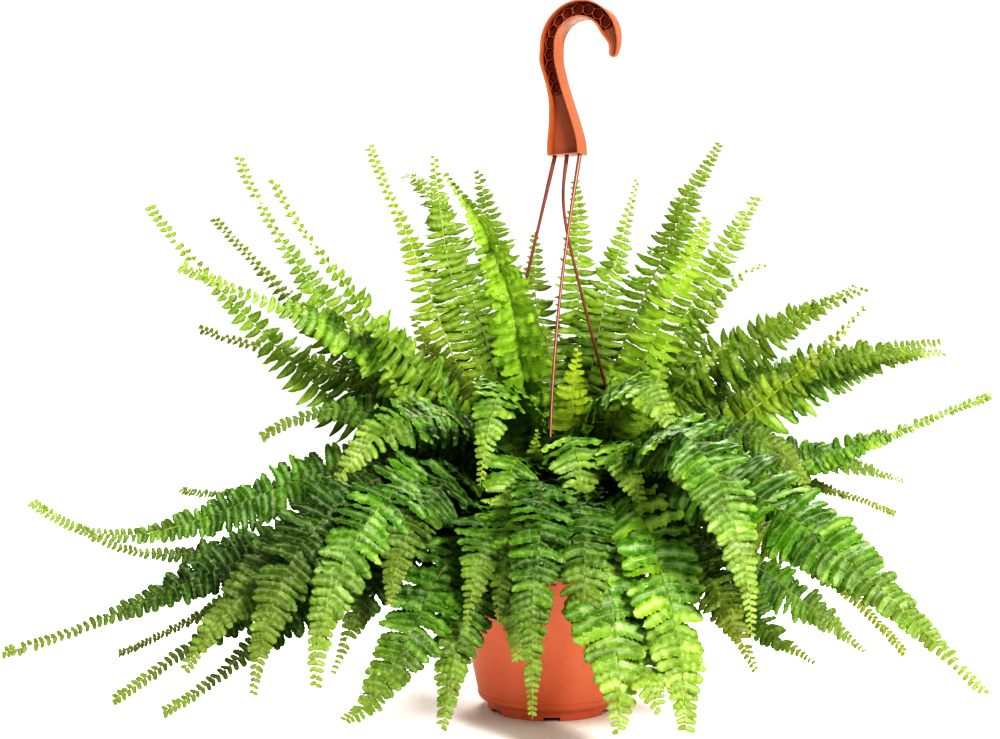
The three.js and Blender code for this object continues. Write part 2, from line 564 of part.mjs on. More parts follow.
// ---- a frond's closed surface ----
function frondSurface(index) {
  const frond = fronds[index];
  const { right, left, pairs, end } = frondSections(index);
  const corners = [];
  const faces = [];
  const corner = (point) => corners.push(point.x, point.y, point.z) / 3 - 1;
  const quad = (a, b, c, d) => faces.push(a, b, c, a, c, d);
  // Corners come in [top, bottom] pairs. A skirt is the wall from one pair to the next.
  const skirt = ([topA, lowA], [topB, lowB]) => quad(topA, lowA, lowB, topB);
  const edgePair = (cut, hand) => [1, -1].map((way) => corner(cut.middle.clone()
    .addScaledVector(cut.side, hand * cut.halfWidth)
    .addScaledVector(cut.up, way * cut.halfThickness)));
  const tipPair = (tip, up) => [1, -1].map((way) => corner(tip.clone()
    .addScaledVector(up, (way * leafThickness) / 2)));

  const rightRow = right.map((cut) => edgePair(cut, 1));
  const leftRow = left.map((cut) => edgePair(cut, -1));
  for (let i = 0; i + 1 < right.length; i += 1) {
    quad(leftRow[i][0], rightRow[i][0], rightRow[i + 1][0], leftRow[i + 1][0]);
    quad(leftRow[i][1], leftRow[i + 1][1], rightRow[i + 1][1], rightRow[i][1]);
  }

  const firstLeaf = right.length - 1 - pairs;
  const edge = (cuts, row, hand) => {
    for (let i = 0; i + 1 < cuts.length; i += 1) {
      const [from, to] = hand > 0 ? [row[i], row[i + 1]] : [row[i + 1], row[i]];
      const length = leafLength(frond, (i - firstLeaf + 0.5) / pairs);
      const leaf = i >= firstLeaf && clearLeaflet(cuts[i], cuts[i + 1], hand, length, index);
      if (leaf) {
        const tip = tipPair(leaf.tip, leaf.up);
        faces.push(from[0], tip[0], to[0], from[1], to[1], tip[1]);
        skirt(from, tip);
        skirt(tip, to);
      } else skirt(from, to);
    }
  };
  edge(right, rightRow, 1);
  edge(left, leftRow, -1);

  skirt(leftRow[0], rightRow[0]);
  const [lastLeft, lastRight] = [leftRow.at(-1), rightRow.at(-1)];
  const tip = tipPair(end, right.at(-1).up);
  faces.push(lastLeft[0], lastRight[0], tip[0], lastLeft[1], tip[1], lastRight[1]);
  skirt(lastRight, tip);
  skirt(tip, lastLeft);

  const geometry = new THREE.BufferGeometry();
  geometry.setAttribute('position', new THREE.Float32BufferAttribute(corners, 3));
  geometry.setIndex(faces);
  return geometry;
}

// Takes points along a rib as it is built: straight from each section to the next.
function takeRib(cuts, end, owner) {
  const stops = [...cuts.map((cut) => cut.middle), end];
  stops.slice(1).forEach((stop, index) => {
    const steps = Math.ceil(stop.distanceTo(stops[index]) / ribStep);
    for (let i = 0; i <= steps; i += 1) take(stops[index].clone().lerp(stop, i / steps), owner);
  });
}

function takeRibsAndStrands() {
  fronds.forEach((frond, index) => {
    const { right, left, end } = frondSections(index);
    takeRib(right, end, index);
    takeRib(left, end, index);
  });
  earAzimuths.forEach((azimuth, index) => {
    for (const point of strandCurve(index).getSpacedPoints(220)) take(point, 'strand');
  });
}

function frondMeshes() {
  takeRibsAndStrands();
  const meshes = [];
  fronds.forEach((frond, index) => {
    const geometry = frondSurface(index);
    if (frond.root === undefined) {
      const host = meshes.at(-1);
      host.geometry = shell(solid(host.geometry).add(solid(geometry)));
      return;
    }
    const name = `frond_${String(meshes.length + 1).padStart(2, '0')}`;
    meshes.push(finish(name, geometry, colours[frond.tint], 0.55));
  });
  return meshes;
}

// ---- the plant ----
const plant = new THREE.Group();
const roots = fronds.filter((frond) => frond.root !== undefined)
  .map((frond) => ({ radius: frond.root, azimuth: frond.az }));
plant.add(finish('pot', shell(potBody()), colours.pot, 0.45));
plant.add(finish('soil', shell(soilBody(roots)), colours.soil, 1));
plant.add(finish('hook', hookGeometry(), colours.hookBody, 0.4));
earAzimuths.forEach((azimuth, index) => {
  plant.add(finish(`strand_${index + 1}`, strandGeometry(index), colours.strand, 0.45));
});
plant.add(...frondMeshes());

const extent = new THREE.Box3().setFromObject(plant);
const middle = extent.getCenter(new THREE.Vector3());
plant.position.set(-middle.x, -middle.y, -extent.min.z);

const model = new THREE.Group();
model.add(plant);
export default model;
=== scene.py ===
import math

import bpy
import numpy as np
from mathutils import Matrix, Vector


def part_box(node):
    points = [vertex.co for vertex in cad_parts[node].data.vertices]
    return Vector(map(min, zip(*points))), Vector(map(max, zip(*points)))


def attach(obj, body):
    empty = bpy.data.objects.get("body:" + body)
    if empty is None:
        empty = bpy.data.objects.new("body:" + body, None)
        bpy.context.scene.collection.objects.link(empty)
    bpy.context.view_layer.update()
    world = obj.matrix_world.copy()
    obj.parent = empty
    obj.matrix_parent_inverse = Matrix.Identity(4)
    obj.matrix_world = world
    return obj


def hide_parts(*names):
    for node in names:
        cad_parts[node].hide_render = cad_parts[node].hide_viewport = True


# Boston fern in a hanging plastic pot. Lengths are written in millimetres in the plant's own
# frame, where the pot's axis is X = Y = 0 and its foot stands on Z = 0, and turned into metres
# by place().

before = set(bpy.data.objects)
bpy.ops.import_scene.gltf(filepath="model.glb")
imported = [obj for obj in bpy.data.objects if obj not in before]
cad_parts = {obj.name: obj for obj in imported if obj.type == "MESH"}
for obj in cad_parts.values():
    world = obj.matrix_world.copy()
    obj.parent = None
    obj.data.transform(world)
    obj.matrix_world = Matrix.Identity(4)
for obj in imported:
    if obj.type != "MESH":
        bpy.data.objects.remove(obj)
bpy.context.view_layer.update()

MM = 0.001
soil_low, soil_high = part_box("soil")
AXIS = np.array([(soil_low[0] + soil_high[0]) / 2, (soil_low[1] + soil_high[1]) / 2, 0.0])

# ---- dimensions shared with the solids ----
RIM_RADIUS = 85.5
RIM_HEIGHT = 128
LIP_HEIGHT = 11
NECK_RADIUS = 82
BASE_RADIUS = 59
WALL = 2.2
FLOOR_BOTTOM = 9
FLOOR_TOP = 11.5
FOOT_OUTER = 51
FOOT_INNER = 47.5
NOTCH_COUNT = 6
NOTCH_WIDTH = 13
NOTCH_HEIGHT = 3
DRAIN_COUNT = 6
DRAIN_RADIUS = 4
DRAIN_CIRCLE = 31
SOIL_TOP = 112
SEAT_GAP = 0.35
EAR_AZIMUTHS = [150, 30, 270]
EAR_REACH = 89
EAR_SIZE = [11, 12, 9]
EAR_BOTTOM = 118
EYE_RADIUS = 2
STRAND_LEAD = 22
KNOB_TOP = EAR_BOTTOM - SEAT_GAP
KNOB_HEIGHT = 4
HOOK_TURN = -30
HOOK_BASE = [14.4, 0, 454]
HOOK_CENTRE = [13.3, 91]
ARCH_RADIUS = 27.5
ARCH_BAND = 14
HOOK_DEPTH = 16
WEB_THICKNESS = 2
SOCKET_DEPTH = 2
TIP_DEGREE = -20
TIP_SHARE = 0.5
TAPER_FROM = 20
THIN_FROM = 24
THIN_SLOPE = 0.173
HOOK_STEM = [  # along, height and width of the band below the arch
    [-27.7, -12.2, 14.7], [-24.5, -24.3, 14], [-21, -36.4, 14], [-18, -48.5, 16.3],
    [-15, -66.7, 22.8], [-13.8, -80, 27.9], [-13.3, -91, 29],
]
STRAND_SEATS = [-11, 0, 12]
STRAND_ROUTES = [
    [[-16, 15, 366], [-44, 28, 250]],
    [[11.2, 2, 424], [13.5, 6, 398], [26, 14, 345], [57, 33, 230]],
    [[14.5, -24, 392], [4, -46, 309], [-2, -70, 216]],
]
STEM_HALF = 1.1
STEM_SUNK = 11
STEM_CLEAR = 1
LEAF_SWEEP = 20
TWIST_TO_LIGHT = 56
UPRIGHT_FROM = 260

# ---- dimensions of the finer pieces ----
# In a pair, the first number is for a frond that hangs and the second for one that stands up.
HANGING_TIP = 230  # height of the tip
UPRIGHT_TIP = 370
PITCH_BASE = (0.3, 4.2)  # spacing of the leaflets on one side: this and a share of the width
PITCH_SHARE = (0.155, 0.105)
WIDEST_PITCH = 9.6
CROWDING = (0.48, 0.4)  # how much closer leaflets stand at the tip, and how late that begins
CROWDING_POWER = (2.2, 3)
FIRST_LEAF = 0.11  # share of a frond's length where its leaflets begin
LAST_LEAF = 0.992
LOST_LEAVES = 0.012  # share of the leaflets that have fallen
LEAF_REACH = (1.1, 1.12)  # length, as a share of half the frond's width
LEAF_WIDTH = (1.4, 0.98)  # as a share of the spacing
OBLONG_FROM = 54  # width of the frond from which its leaflets are less tapered
OBLONG_FULL = 72
TEETH = np.array([[0.07, 0.16], [0.02, 0.07]])  # least and most depth of the scallops
LOBE = (0.42, 0.25)  # the ear at a leaflet's foot
ROOT_OFFSET = (0.2, 0.35)  # from the rib's middle to a leaflet's foot
RIPPLE = (1, 0.65)
# Angles of leaflets in degrees. A swing is the standard deviation from leaf to leaf.
FOLD = (-3, 4)  # of the two rows of leaflets, up from flat
FOLD_SWING = (9, 6)
HEADING = (1, -16)  # towards the frond's tip, at a leaflet's foot
BEND = (16, 34)  # what its end adds to that
BEND_SWING = (8, 11)
DROOP = (2, 0)
DROOP_BEND = (6, 14)
TURN = (4, 0)  # about its own midrib
TURN_SWING = (6, 12)
TURN_BEND_SWING = (12, 16)
# Fronds that differ from the rest, by their width and by their azimuth
FULL_WIDTH = 50  # a wider frond is folded if it stands in front, and hangs if it is at the left
CRESTED_FOLD = -32
CRESTED_SHARE = 0.82  # how wide a folded frond looks
LEFT_FULL = (185, 225)
FRONT_FULL = (275, 295)
SLENDER_WIDTH = 36
SLENDER_SIDE = (140, 207)
SLENDER_REACH = 190
SHADE_HEIGHT = 200  # below it, the fronds of these two sides are in the shade of others, and their leaflets are painted darker as painted shade
SHADED = [(150, 240), (298, 310)]
RIB_STATIONS = 241
RIB_RING = 7
RIB_SWINGS = ((1.1, 1.8), (2.3, 1.1), (4.1, 0.5))  # waves along a rib, and their size
LEAF_STATIONS = 17
LEAF_RING = 6
LEAF_THICK = 0.3  # half thickness along a leaflet's midrib
HAIR_COUNT = 70
HAIR_LENGTH = 1.9
HAIR_WIDTH = 0.16
CRUMB_COUNT = 260
HOOK_RIM = 1.5  # edge of the channel's walls
FOOT_RIM = 1.4
HOOK_RING = 12
COMB_SPAN = (27.0, 133.0)  # first and last cell of the honeycomb, along the band from its tip
COMB_COUNT = 12
COMB_RISE = 3
STRAND_FLATNESS = 0.85

# ---- studio, in metres ----
FLOOR_HALF = 6
CAMERA_BACK = 1.2
CAMERA_ASIDE = -0.041
CAMERA_HEIGHT = 0.294
CAMERA_LENS = 52.36
CAMERA_SHIFT = -0.02

# ---- colours ----
LEAF_COLOURS = {  # from the darkest leaflets to the palest, then the frond's tip
    "bright": ["264c00", "487604", "86a42a", "909e48"],
    "deep": ["143000", "2a5000", "547a10", "84923e"],
    "young": ["466800", "6a8a00", "90a224", "a0a640"],
    "olive": ["283c00", "445e00", "6a7a12", "868a34"],
}
STANDING = "6c7e08"  # what upright fronds have more of
PAINTED_SHEEN_COLOUR = "d4e0bc"  # painted sheen: a pale highlight painted on the crests of a leaflet
PAINTED_SHEEN_SHARE = {"bright": 0.27, "deep": 0.12, "young": 0.26, "olive": 0.1}  # how strongly the painted sheen shows
RIB_TONES = {"bright": 0.55, "deep": 0.1, "young": 0.9, "olive": 0.3}  # from brown to straw


def between(pair, share):
    return pair[0] + (pair[1] - pair[0]) * share


def within(value, span):
    return span[0] < value < span[1]


def ease(value, low, high):
    share = np.clip((value - low) / (high - low), 0, 1)
    return share * share * (3 - 2 * share)


def linear(code):
    """A colour written as RRGGBB, as the linear values that the shaders take."""
    parts = [int(code[i:i + 2], 16) / 255 for i in (0, 2, 4)]
    return [c / 12.92 if c <= 0.04045 else ((c + 0.055) / 1.055) ** 2.4 for c in parts] + [1.0]


def place(points):
    return np.asarray(points, float) * MM + AXIS


def polar(radius, azimuth):
    return [radius * math.cos(math.radians(azimuth)), radius * math.sin(math.radians(azimuth))]


def turned(points, degrees):
    """Points turned about the Z axis."""
    c, s = math.cos(math.radians(degrees)), math.sin(math.radians(degrees))
    return np.asarray(points, float) @ np.array([[c, s, 0], [-s, c, 0], [0, 0, 1]])


def rotate(angle, first, second):
    """Two directions at right angles, turned in their plane from the first to the second."""
    cos, sin = np.cos(angle), np.sin(angle)
    return cos * first + sin * second, cos * second - sin * first


def unit(vectors):
    return vectors / np.linalg.norm(vectors, axis=-1, keepdims=True)


def circle(count):
    """The cosines and sines of evenly spaced angles."""
    angle = np.linspace(0, 2 * math.pi, count, endpoint=False)
    return np.cos(angle), np.sin(angle)


def run_along(points):
    """The length of a line of points up to each of them."""
    steps = np.linalg.norm(np.diff(points, axis=0), axis=1)
    return np.concatenate([[0], np.cumsum(steps)])


def rows_at(where, known, rows):
    """Rows of numbers that are given at the known places, read at others."""
    return np.stack([np.interp(where, known, column) for column in rows.T], axis=-1)


def curve_through(points, steps, power):
    """A Catmull-Rom curve through points, with steps to each stretch. Its knots are apart by a
    power of the distance: 0 makes it uniform and 0.5 centripetal."""
    points = np.asarray(points, float)
    padded = np.vstack([2 * points[0] - points[1], points, 2 * points[-1] - points[-2]])
    found = []
    for i in range(len(points) - 1):
        p = padded[i:i + 4]
        gaps = np.linalg.norm(np.diff(p, axis=0), axis=1) ** power
        knots = np.concatenate([[0], np.cumsum(gaps)])
        for t in knots[1] + (knots[2] - knots[1]) * np.arange(steps) / steps:
            a = [blend(p[k], p[k + 1], t, knots[k], knots[k + 1]) for k in range(3)]
            b = [blend(a[k], a[k + 1], t, knots[k], knots[k + 2]) for k in range(2)]
            found.append(blend(b[0], b[1], t, knots[1], knots[2]))
    found.append(points[-1])
    return np.array(found)


def blend(first, second, t, low, high):
    return (high - t) / (high - low) * first + (t - low) / (high - low) * second


# ---- meshes ----
def mesh_piece(name, points, faces, materials, smooth_to=40):
    """A mesh object of points in millimetres. faces is a list of arrays, each of one face size."""
    mesh = bpy.data.meshes.new(name)
    points = place(points)
    mesh.vertices.add(len(points))
    mesh.vertices.foreach_set("co", points.ravel())
    loops = np.concatenate([f.ravel() for f in faces])
    sizes = np.concatenate([np.full(len(f), f.shape[1]) for f in faces])
    mesh.loops.add(len(loops))
    mesh.loops.foreach_set("vertex_index", loops)
    mesh.polygons.add(len(sizes))
    mesh.polygons.foreach_set("loop_start", np.concatenate([[0], np.cumsum(sizes)[:-1]]))
    mesh.update(calc_edges=True)
    mesh.validate()
    for material in materials:
        mesh.materials.append(material)
    piece = bpy.data.objects.new(name, mesh)
    smooth(piece, smooth_to)
    bpy.context.scene.collection.objects.link(piece)
    return piece


def smooth(piece, sharp_from):
    """Shades a piece smooth, but for the edges whose angle is larger than this."""
    piece.data.shade_smooth()
    piece.data.set_sharp_from_angle(angle=math.radians(sharp_from))


def stand_for(piece, slot, *nodes):
    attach(piece, "root")
    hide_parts(*nodes)


def join(parts):
    """Points and faces of several parts as one, first all the quads and then all the triangles."""
    starts = np.cumsum([0] + [len(part[0]) for part in parts])
    faces = [group + start for part, start in zip(parts, starts) for group in part[1]]
    by_size = [np.vstack([group for group in faces if group.shape[1] == size]) for size in (4, 3)]
    return np.vstack([part[0] for part in parts]), by_size


def ring_faces(rings, around, closed=False):
    """Quads between rings of points, each with the same number around."""
    rows = np.arange(rings if closed else rings - 1)[:, None]
    cols = np.arange(around)[None, :]
    after = (rows + 1) % rings
    nxt = (cols + 1) % around
    corners = [rows * around + cols, rows * around + nxt, after * around + nxt, after * around + cols]
    return np.stack(corners, axis=-1).reshape(-1, 4)


def swept(rings):
    """Points and faces of a closed tube through rings, an array of rings x around x 3. The last
    two points are the middles of its ends."""
    count, around, _ = rings.shape
    points = rings.reshape(-1, 3)
    spin = np.arange(around)
    nxt = (spin + 1) % around
    last = (count - 1) * around
    start_cap = np.stack([np.full(around, len(points)), nxt, spin], axis=-1)
    end_cap = np.stack([np.full(around, len(points) + 1), last + spin, last + nxt], axis=-1)
    ends = np.array([rings[0].mean(axis=0), rings[-1].mean(axis=0)])
    return np.vstack([points, ends]), [ring_faces(count, around), start_cap, end_cap]


def tube(path, side, up, radius, around, flatness=1):
    """Points and faces of a tube along a path, with two directions across it and its radii."""
    cos, sin = circle(around)
    spokes = side[:, None] * cos[:, None] + up[:, None] * sin[:, None] * flatness
    return swept(path[:, None] + spokes * radius[:, None, None])


def lathe(profile, around):
    """Points and faces of a turned body. The profile starts and ends on the axis."""
    profile = np.asarray(profile, float)
    cos, sin = circle(around)
    on_axis = profile[:, 0] < 1e-6
    points = []
    first = []
    for (radius, height), single in zip(profile, on_axis):
        first.append(len(points))
        if single:
            points.append([0, 0, height])
        else:
            points += np.stack([radius * cos, radius * sin, np.full(around, height)], axis=-1).tolist()
    spin = np.arange(around)
    nxt = (spin + 1) % around
    quads = []
    tris = []
    for i in range(len(profile) - 1):
        a, b = first[i], first[i + 1]
        if on_axis[i]:
            tris.append(np.stack([np.full(around, a), b + nxt, b + spin], axis=-1))
        elif on_axis[i + 1]:
            tris.append(np.stack([a + spin, a + nxt, np.full(around, b)], axis=-1))
        else:
            quads.append(np.stack([a + spin, a + nxt, b + nxt, b + spin], axis=-1))
    return np.array(points), [np.vstack(quads), np.vstack(tris)]


def rounded(corners, radii, steps=5):
    """An outline with each corner replaced by a curve of about the given radius."""
    corners = np.asarray(corners, float)
    outline = [corners[0]]
    for i in range(1, len(corners) - 1):
        here = corners[i]
        if radii[i] <= 0:
            outline.append(here)
            continue
        to_before = corners[i - 1] - here
        to_after = corners[i + 1] - here
        reach = min(radii[i], 0.45 * np.linalg.norm(to_before), 0.45 * np.linalg.norm(to_after))
        start = here + to_before / np.linalg.norm(to_before) * reach
        end = here + to_after / np.linalg.norm(to_after) * reach
        for t in np.linspace(0, 1, steps):
            outline.append((1 - t) ** 2 * start + 2 * t * (1 - t) * here + t * t * end)
    outline.append(corners[-1])
    return np.array(outline)


def cut(body, cutters, operation="DIFFERENCE"):
    """Cuts the cutters out of the body, or joins them to it, and removes them."""
    for cutter in cutters:
        modifier = body.modifiers.new("cut", "BOOLEAN")
        modifier.operation = operation
        modifier.solver = "EXACT"
        modifier.object = cutter
    apply_modifiers(body)
    for cutter in cutters:
        mesh = cutter.data
        bpy.data.objects.remove(cutter)
        bpy.data.meshes.remove(mesh)


def apply_modifiers(body):
    bpy.context.view_layer.update()
    depsgraph = bpy.context.evaluated_depsgraph_get()
    result = bpy.data.meshes.new_from_object(body.evaluated_get(depsgraph), depsgraph=depsgraph)
    body.modifiers.clear()
    old = body.data
    body.data = result
    bpy.data.meshes.remove(old)


def bevel(body, width, segments=2, angle=40):
    modifier = body.modifiers.new("bevel", "BEVEL")
    modifier.width = width * MM
    modifier.segments = segments
    modifier.limit_method = "ANGLE"
    modifier.angle_limit = math.radians(angle)
    apply_modifiers(body)


def block(size, at, turn):
    """A box piece, size and middle in millimetres, turned about the pot's axis by degrees."""
    square = ((-1, -1), (1, -1), (1, 1), (-1, 1))
    signs = np.array([[x, y, z] for z in (-1, 1) for x, y in square])
    points = turned(signs * np.array(size) / 2 + np.array(at), turn)
    quads = [[0, 3, 2, 1], [4, 5, 6, 7], [0, 1, 5, 4], [1, 2, 6, 5], [2, 3, 7, 6], [3, 0, 4, 7]]
    return mesh_piece("block", points, [np.array(quads)], [])


def rod(radius, height, at):
    """An upright round rod, with its middle at a point in millimetres."""
    path = np.array([at, at], float)
    path[:, 2] += np.array([-height, height]) / 2
    points, faces = tube(path, np.array([[1, 0, 0]]), np.array([[0, 1, 0]]), np.full(2, radius), 24)
    return mesh_piece("rod", points, faces, [])


def paint(piece, name, values):
    layer = piece.data.attributes.new(name, "FLOAT_COLOR", "POINT")
    layer.data.foreach_set("color", np.asarray(values, np.float32).ravel())


# ---- materials ----
class Shader:
    """A material's node tree, with short calls for the nodes that the materials share."""

    def __init__(self, name):
        self.material = bpy.data.materials.new(name)
        self.material.use_nodes = True
        self.tree = self.material.node_tree
        self.tree.nodes.clear()
        self.output = self.tree.nodes.new("ShaderNodeOutputMaterial")

    def node(self, kind, settings=(), **inputs):
        """A node. Its inputs are given by name, or by number as i0, i1 and so on."""
        made = self.tree.nodes.new("ShaderNode" + kind)
        for key, value in dict(settings).items():
            setattr(made, key, value)
        for key, value in inputs.items():
            numbered = key[0] == "i" and key[1:].isdigit()
            socket = made.inputs[int(key[1:]) if numbered else key.replace("_", " ")]
            if isinstance(value, bpy.types.NodeSocket):
                self.tree.links.new(value, socket)
            else:
                socket.default_value = value
        return made

    def math(self, operation, *values):
        inputs = {f"i{number}": value for number, value in enumerate(values)}
        return self.node("Math", {"operation": operation}, **inputs).outputs[0]

    def times(self, a, b):
        return self.math("MULTIPLY", a, b)

    def scaled(self, value, by, plus):
        return self.math("MULTIPLY_ADD", value, by, plus)

    def mix(self, factor, a, b):
        return self.node("Mix", {"data_type": "RGBA"}, i0=factor, i6=a, i7=b).outputs[2]

    def span(self, value, low, high, to_low=0.0, to_high=1.0):
        return self.node("MapRange", {"interpolation_type": "SMOOTHSTEP"}, i0=value, i1=low, i2=high,
                         i3=to_low, i4=to_high).outputs[0]

    def noise(self, where, scale, detail=3.0, roughness=0.55):
        return self.node("TexNoise", Vector=where, Scale=scale, Detail=detail,
                         Roughness=roughness).outputs["Fac"]

    def where(self, stretch=None):
        spot = self.node("TexCoord").outputs["Object"]
        if stretch is None:
            return spot
        return self.node("Mapping", Vector=spot, Scale=stretch).outputs[0]

    def attribute(self, name, output="Fac"):
        return self.node("Attribute", {"attribute_name": name}).outputs[output]

    def tone(self):
        """A frond's tone: the share of its length, a chance, which on leaflets carries their painted shade
        and painted highlight, and 1 on a leaflet's underside.
        """
        return self.node("SeparateColor", Color=self.attribute("tone", "Color")).outputs

    def ramp(self, value, stops):
        made = self.node("ValToRGB", Fac=value)
        elements = made.color_ramp.elements
        while len(elements) < len(stops):
            elements.new(0.5)
        for element, (position, code) in zip(elements, stops):
            element.position = position
            element.color = linear(code)
        return made.outputs["Color"]

    def bump(self, height, strength, distance):
        return self.node("Bump", Height=height, Strength=strength, Distance=distance).outputs[0]

    def skin(self, colour, roughness, **inputs):
        return self.node("BsdfPrincipled", Base_Color=colour, Roughness=roughness, **inputs).outputs[0]

    def finish(self, shader):
        self.tree.links.new(shader, self.output.inputs["Surface"])
        return self.material


def leaf_marks(s):
    """The place along a leaflet and aside of its midrib, and the lines of midrib and veins."""
    uv = s.node("UVMap", {"uv_map": "leaf"}).outputs[0]
    along, across, _ = s.node("SeparateXYZ", Vector=uv).outputs
    aside = s.times(s.math("ABSOLUTE", s.math("SUBTRACT", across, 0.5)), 2.0)
    lean = s.math("SUBTRACT", s.times(along, 11.0), s.times(aside, 1.5))
    vein = s.math("ABSOLUTE", s.math("SINE", s.times(lean, math.pi)))
    return along, aside, s.span(aside, 0.0, 0.16, 1.0, 0.0), s.span(vein, 0.0, 0.34, 1.0, 0.0)


def leaf_material(tint):
    """Leaflets: paler along the midrib, the veins and the edge, with a painted sheen, a pale
    highlight painted on the crests of the blade and on fine crinkles, and a matt paler underside."""
    dark, middle, pale, tip = LEAF_COLOURS[tint]
    s = Shader("leaf_" + tint)
    share, chance, under = s.tone()
    stand = s.attribute("stand")
    along, aside, midrib, vein = leaf_marks(s)
    here = s.where()
    blotch = s.noise(here, 70.0, 2.0)
    crinkle = s.noise(here, 340.0)
    speck = s.noise(here, 900.0, 2.0)
    below = s.math("GREATER_THAN", under, 0.501)
    # Painted highlight: a pale sheen colour, mixed in along each leaflet's crest and on fine crinkles; it
    # also raises the specular level there.
    painted_sheen_band = s.times(s.span(aside, 0.1, 0.7, 1.0, 0.0), s.span(blotch, 0.32, 0.74, 0.1, 1.0))
    painted_sheen = s.scaled(painted_sheen_band, PAINTED_SHEEN_SHARE[tint], s.span(crinkle, 0.52, 0.76, 0.0, 0.17))
    painted_sheen = s.times(painted_sheen, s.scaled(stand, -0.25, 1.0))
    # The ramp's place: a random tone, blotches and the share along the leaflet, with the painted shade and
    # painted highlight that the chance carries.
    tone_and_painted_light = s.math("ADD", s.times(chance, 0.62), s.scaled(blotch, 0.9, -0.28))
    tone_and_painted_light = s.scaled(along, 0.16, tone_and_painted_light)
    colour = s.ramp(tone_and_painted_light, [(0.05, dark), (0.5, middle), (0.98, pale)])
    for amount, code in (
        (s.span(share, 0.6, 1.05, 0.0, 0.75), tip),
        (s.times(stand, 0.5), STANDING),
        (painted_sheen, PAINTED_SHEEN_COLOUR),
        (s.times(vein, 0.18), pale),
        (s.times(midrib, 0.5), tip),
        (s.span(aside, 0.82, 1.0, 0.0, 0.35), pale),
        (s.times(below, 0.45), pale),
    ):
        colour = s.mix(amount, colour, linear(code))
    height = s.scaled(vein, -0.35, s.times(speck, 0.25))
    height = s.scaled(crinkle, 0.9, s.scaled(midrib, -0.6, height))
    normal = s.bump(height, 0.6, 0.0007)
    rough = s.scaled(blotch, 0.24, s.scaled(below, 0.2, 0.3))
    shine = s.scaled(painted_sheen, 1.4, 0.24)
    skin = s.skin(colour, rough, Normal=normal, Specular_IOR_Level=shine)
    glow = s.mix(0.4, colour, linear(tip))
    through = s.node("BsdfTranslucent", Color=glow, Normal=normal).outputs[0]
    return s.finish(s.node("MixShader", Fac=0.38, i1=skin, i2=through).outputs[0])


def stem_material():
    """Ribs: brown and scurfy at the foot, green and then straw coloured towards the tip."""
    s = Shader("rib")
    share, chance, _ = s.tone()
    here = s.where()
    blotch = s.noise(here, 160.0)
    fleck = s.noise(here, 1500.0, 2.0)
    drift = s.math("ADD", share, s.scaled(blotch, 0.5, -0.25))
    drift = s.math("ADD", s.scaled(chance, 0.6, -0.2), drift)
    colour = s.ramp(drift, [(0.02, "2a1c0c"), (0.3, "45380f"), (0.62, "56601c"), (0.98, "849238")])
    colour = s.mix(s.span(fleck, 0.6, 0.75, 0.0, 0.6), colour, linear("5a3c1c"))
    return s.finish(s.skin(colour, 0.55, Normal=s.bump(fleck, 0.4, 0.0003)))


def plastic(name, main, pale, dull, rough, recess=None):
    """Moulded plastic: a faint swirl in the colour, fine grain and scuffs. The recesses of the
    hook are painted darker as painted shade, and have less shine."""
    s = Shader(name)
    here = s.where()
    swirl = s.noise(here, 14.0, 4.0)
    grain = s.noise(here, 2200.0, 2.0)
    scuff = s.noise(s.where((1, 1, 9)), 60.0, 6.0, 0.7)
    colour = s.mix(s.span(swirl, 0.3, 0.72, 0.0, 0.8), linear(main), linear(pale))
    colour = s.mix(s.span(scuff, 0.6, 0.78, 0.0, 0.4), colour, linear(dull))
    shine = 0.5
    if recess:
        # Painted shade: the recess colour is mixed in by the painted shade that each point of the hook
        # carries.
        depth = s.attribute("recess")
        colour = s.mix(s.span(depth, 0.0, 1.0, 0.0, 0.92), colour, linear(recess))
        shine = s.scaled(depth, -0.45, shine)
    height = s.scaled(scuff, 0.4, s.times(grain, 0.6))
    normal = s.bump(height, 0.12, 0.0004)
    gloss = s.scaled(scuff, 0.22, s.scaled(swirl, 0.1, rough - 0.16))
    return s.finish(s.skin(colour, gloss, Normal=normal, Specular_IOR_Level=shine))


def soil_material():
    s = Shader("potting_soil")
    clump = s.noise(s.where(), 120.0, 5.0, 0.7)
    fibre = s.noise(s.where((1, 3, 1)), 700.0)
    colour = s.ramp(clump, [(0.25, "17100b"), (0.5, "33241a"), (0.8, "5a4330")])
    colour = s.mix(s.span(fibre, 0.62, 0.72, 0.0, 0.7), colour, linear("7a6145"))
    normal = s.bump(s.math("ADD", clump, fibre), 0.8, 0.0015)
    return s.finish(s.skin(colour, 0.95, Normal=normal))


def floor_material():
    s = Shader("studio_floor")
    wash = s.noise(s.where(), 3.0, 2.0)
    return s.finish(s.skin(s.mix(wash, linear("f4f4f2"), linear("fbfbfa")), 0.9))


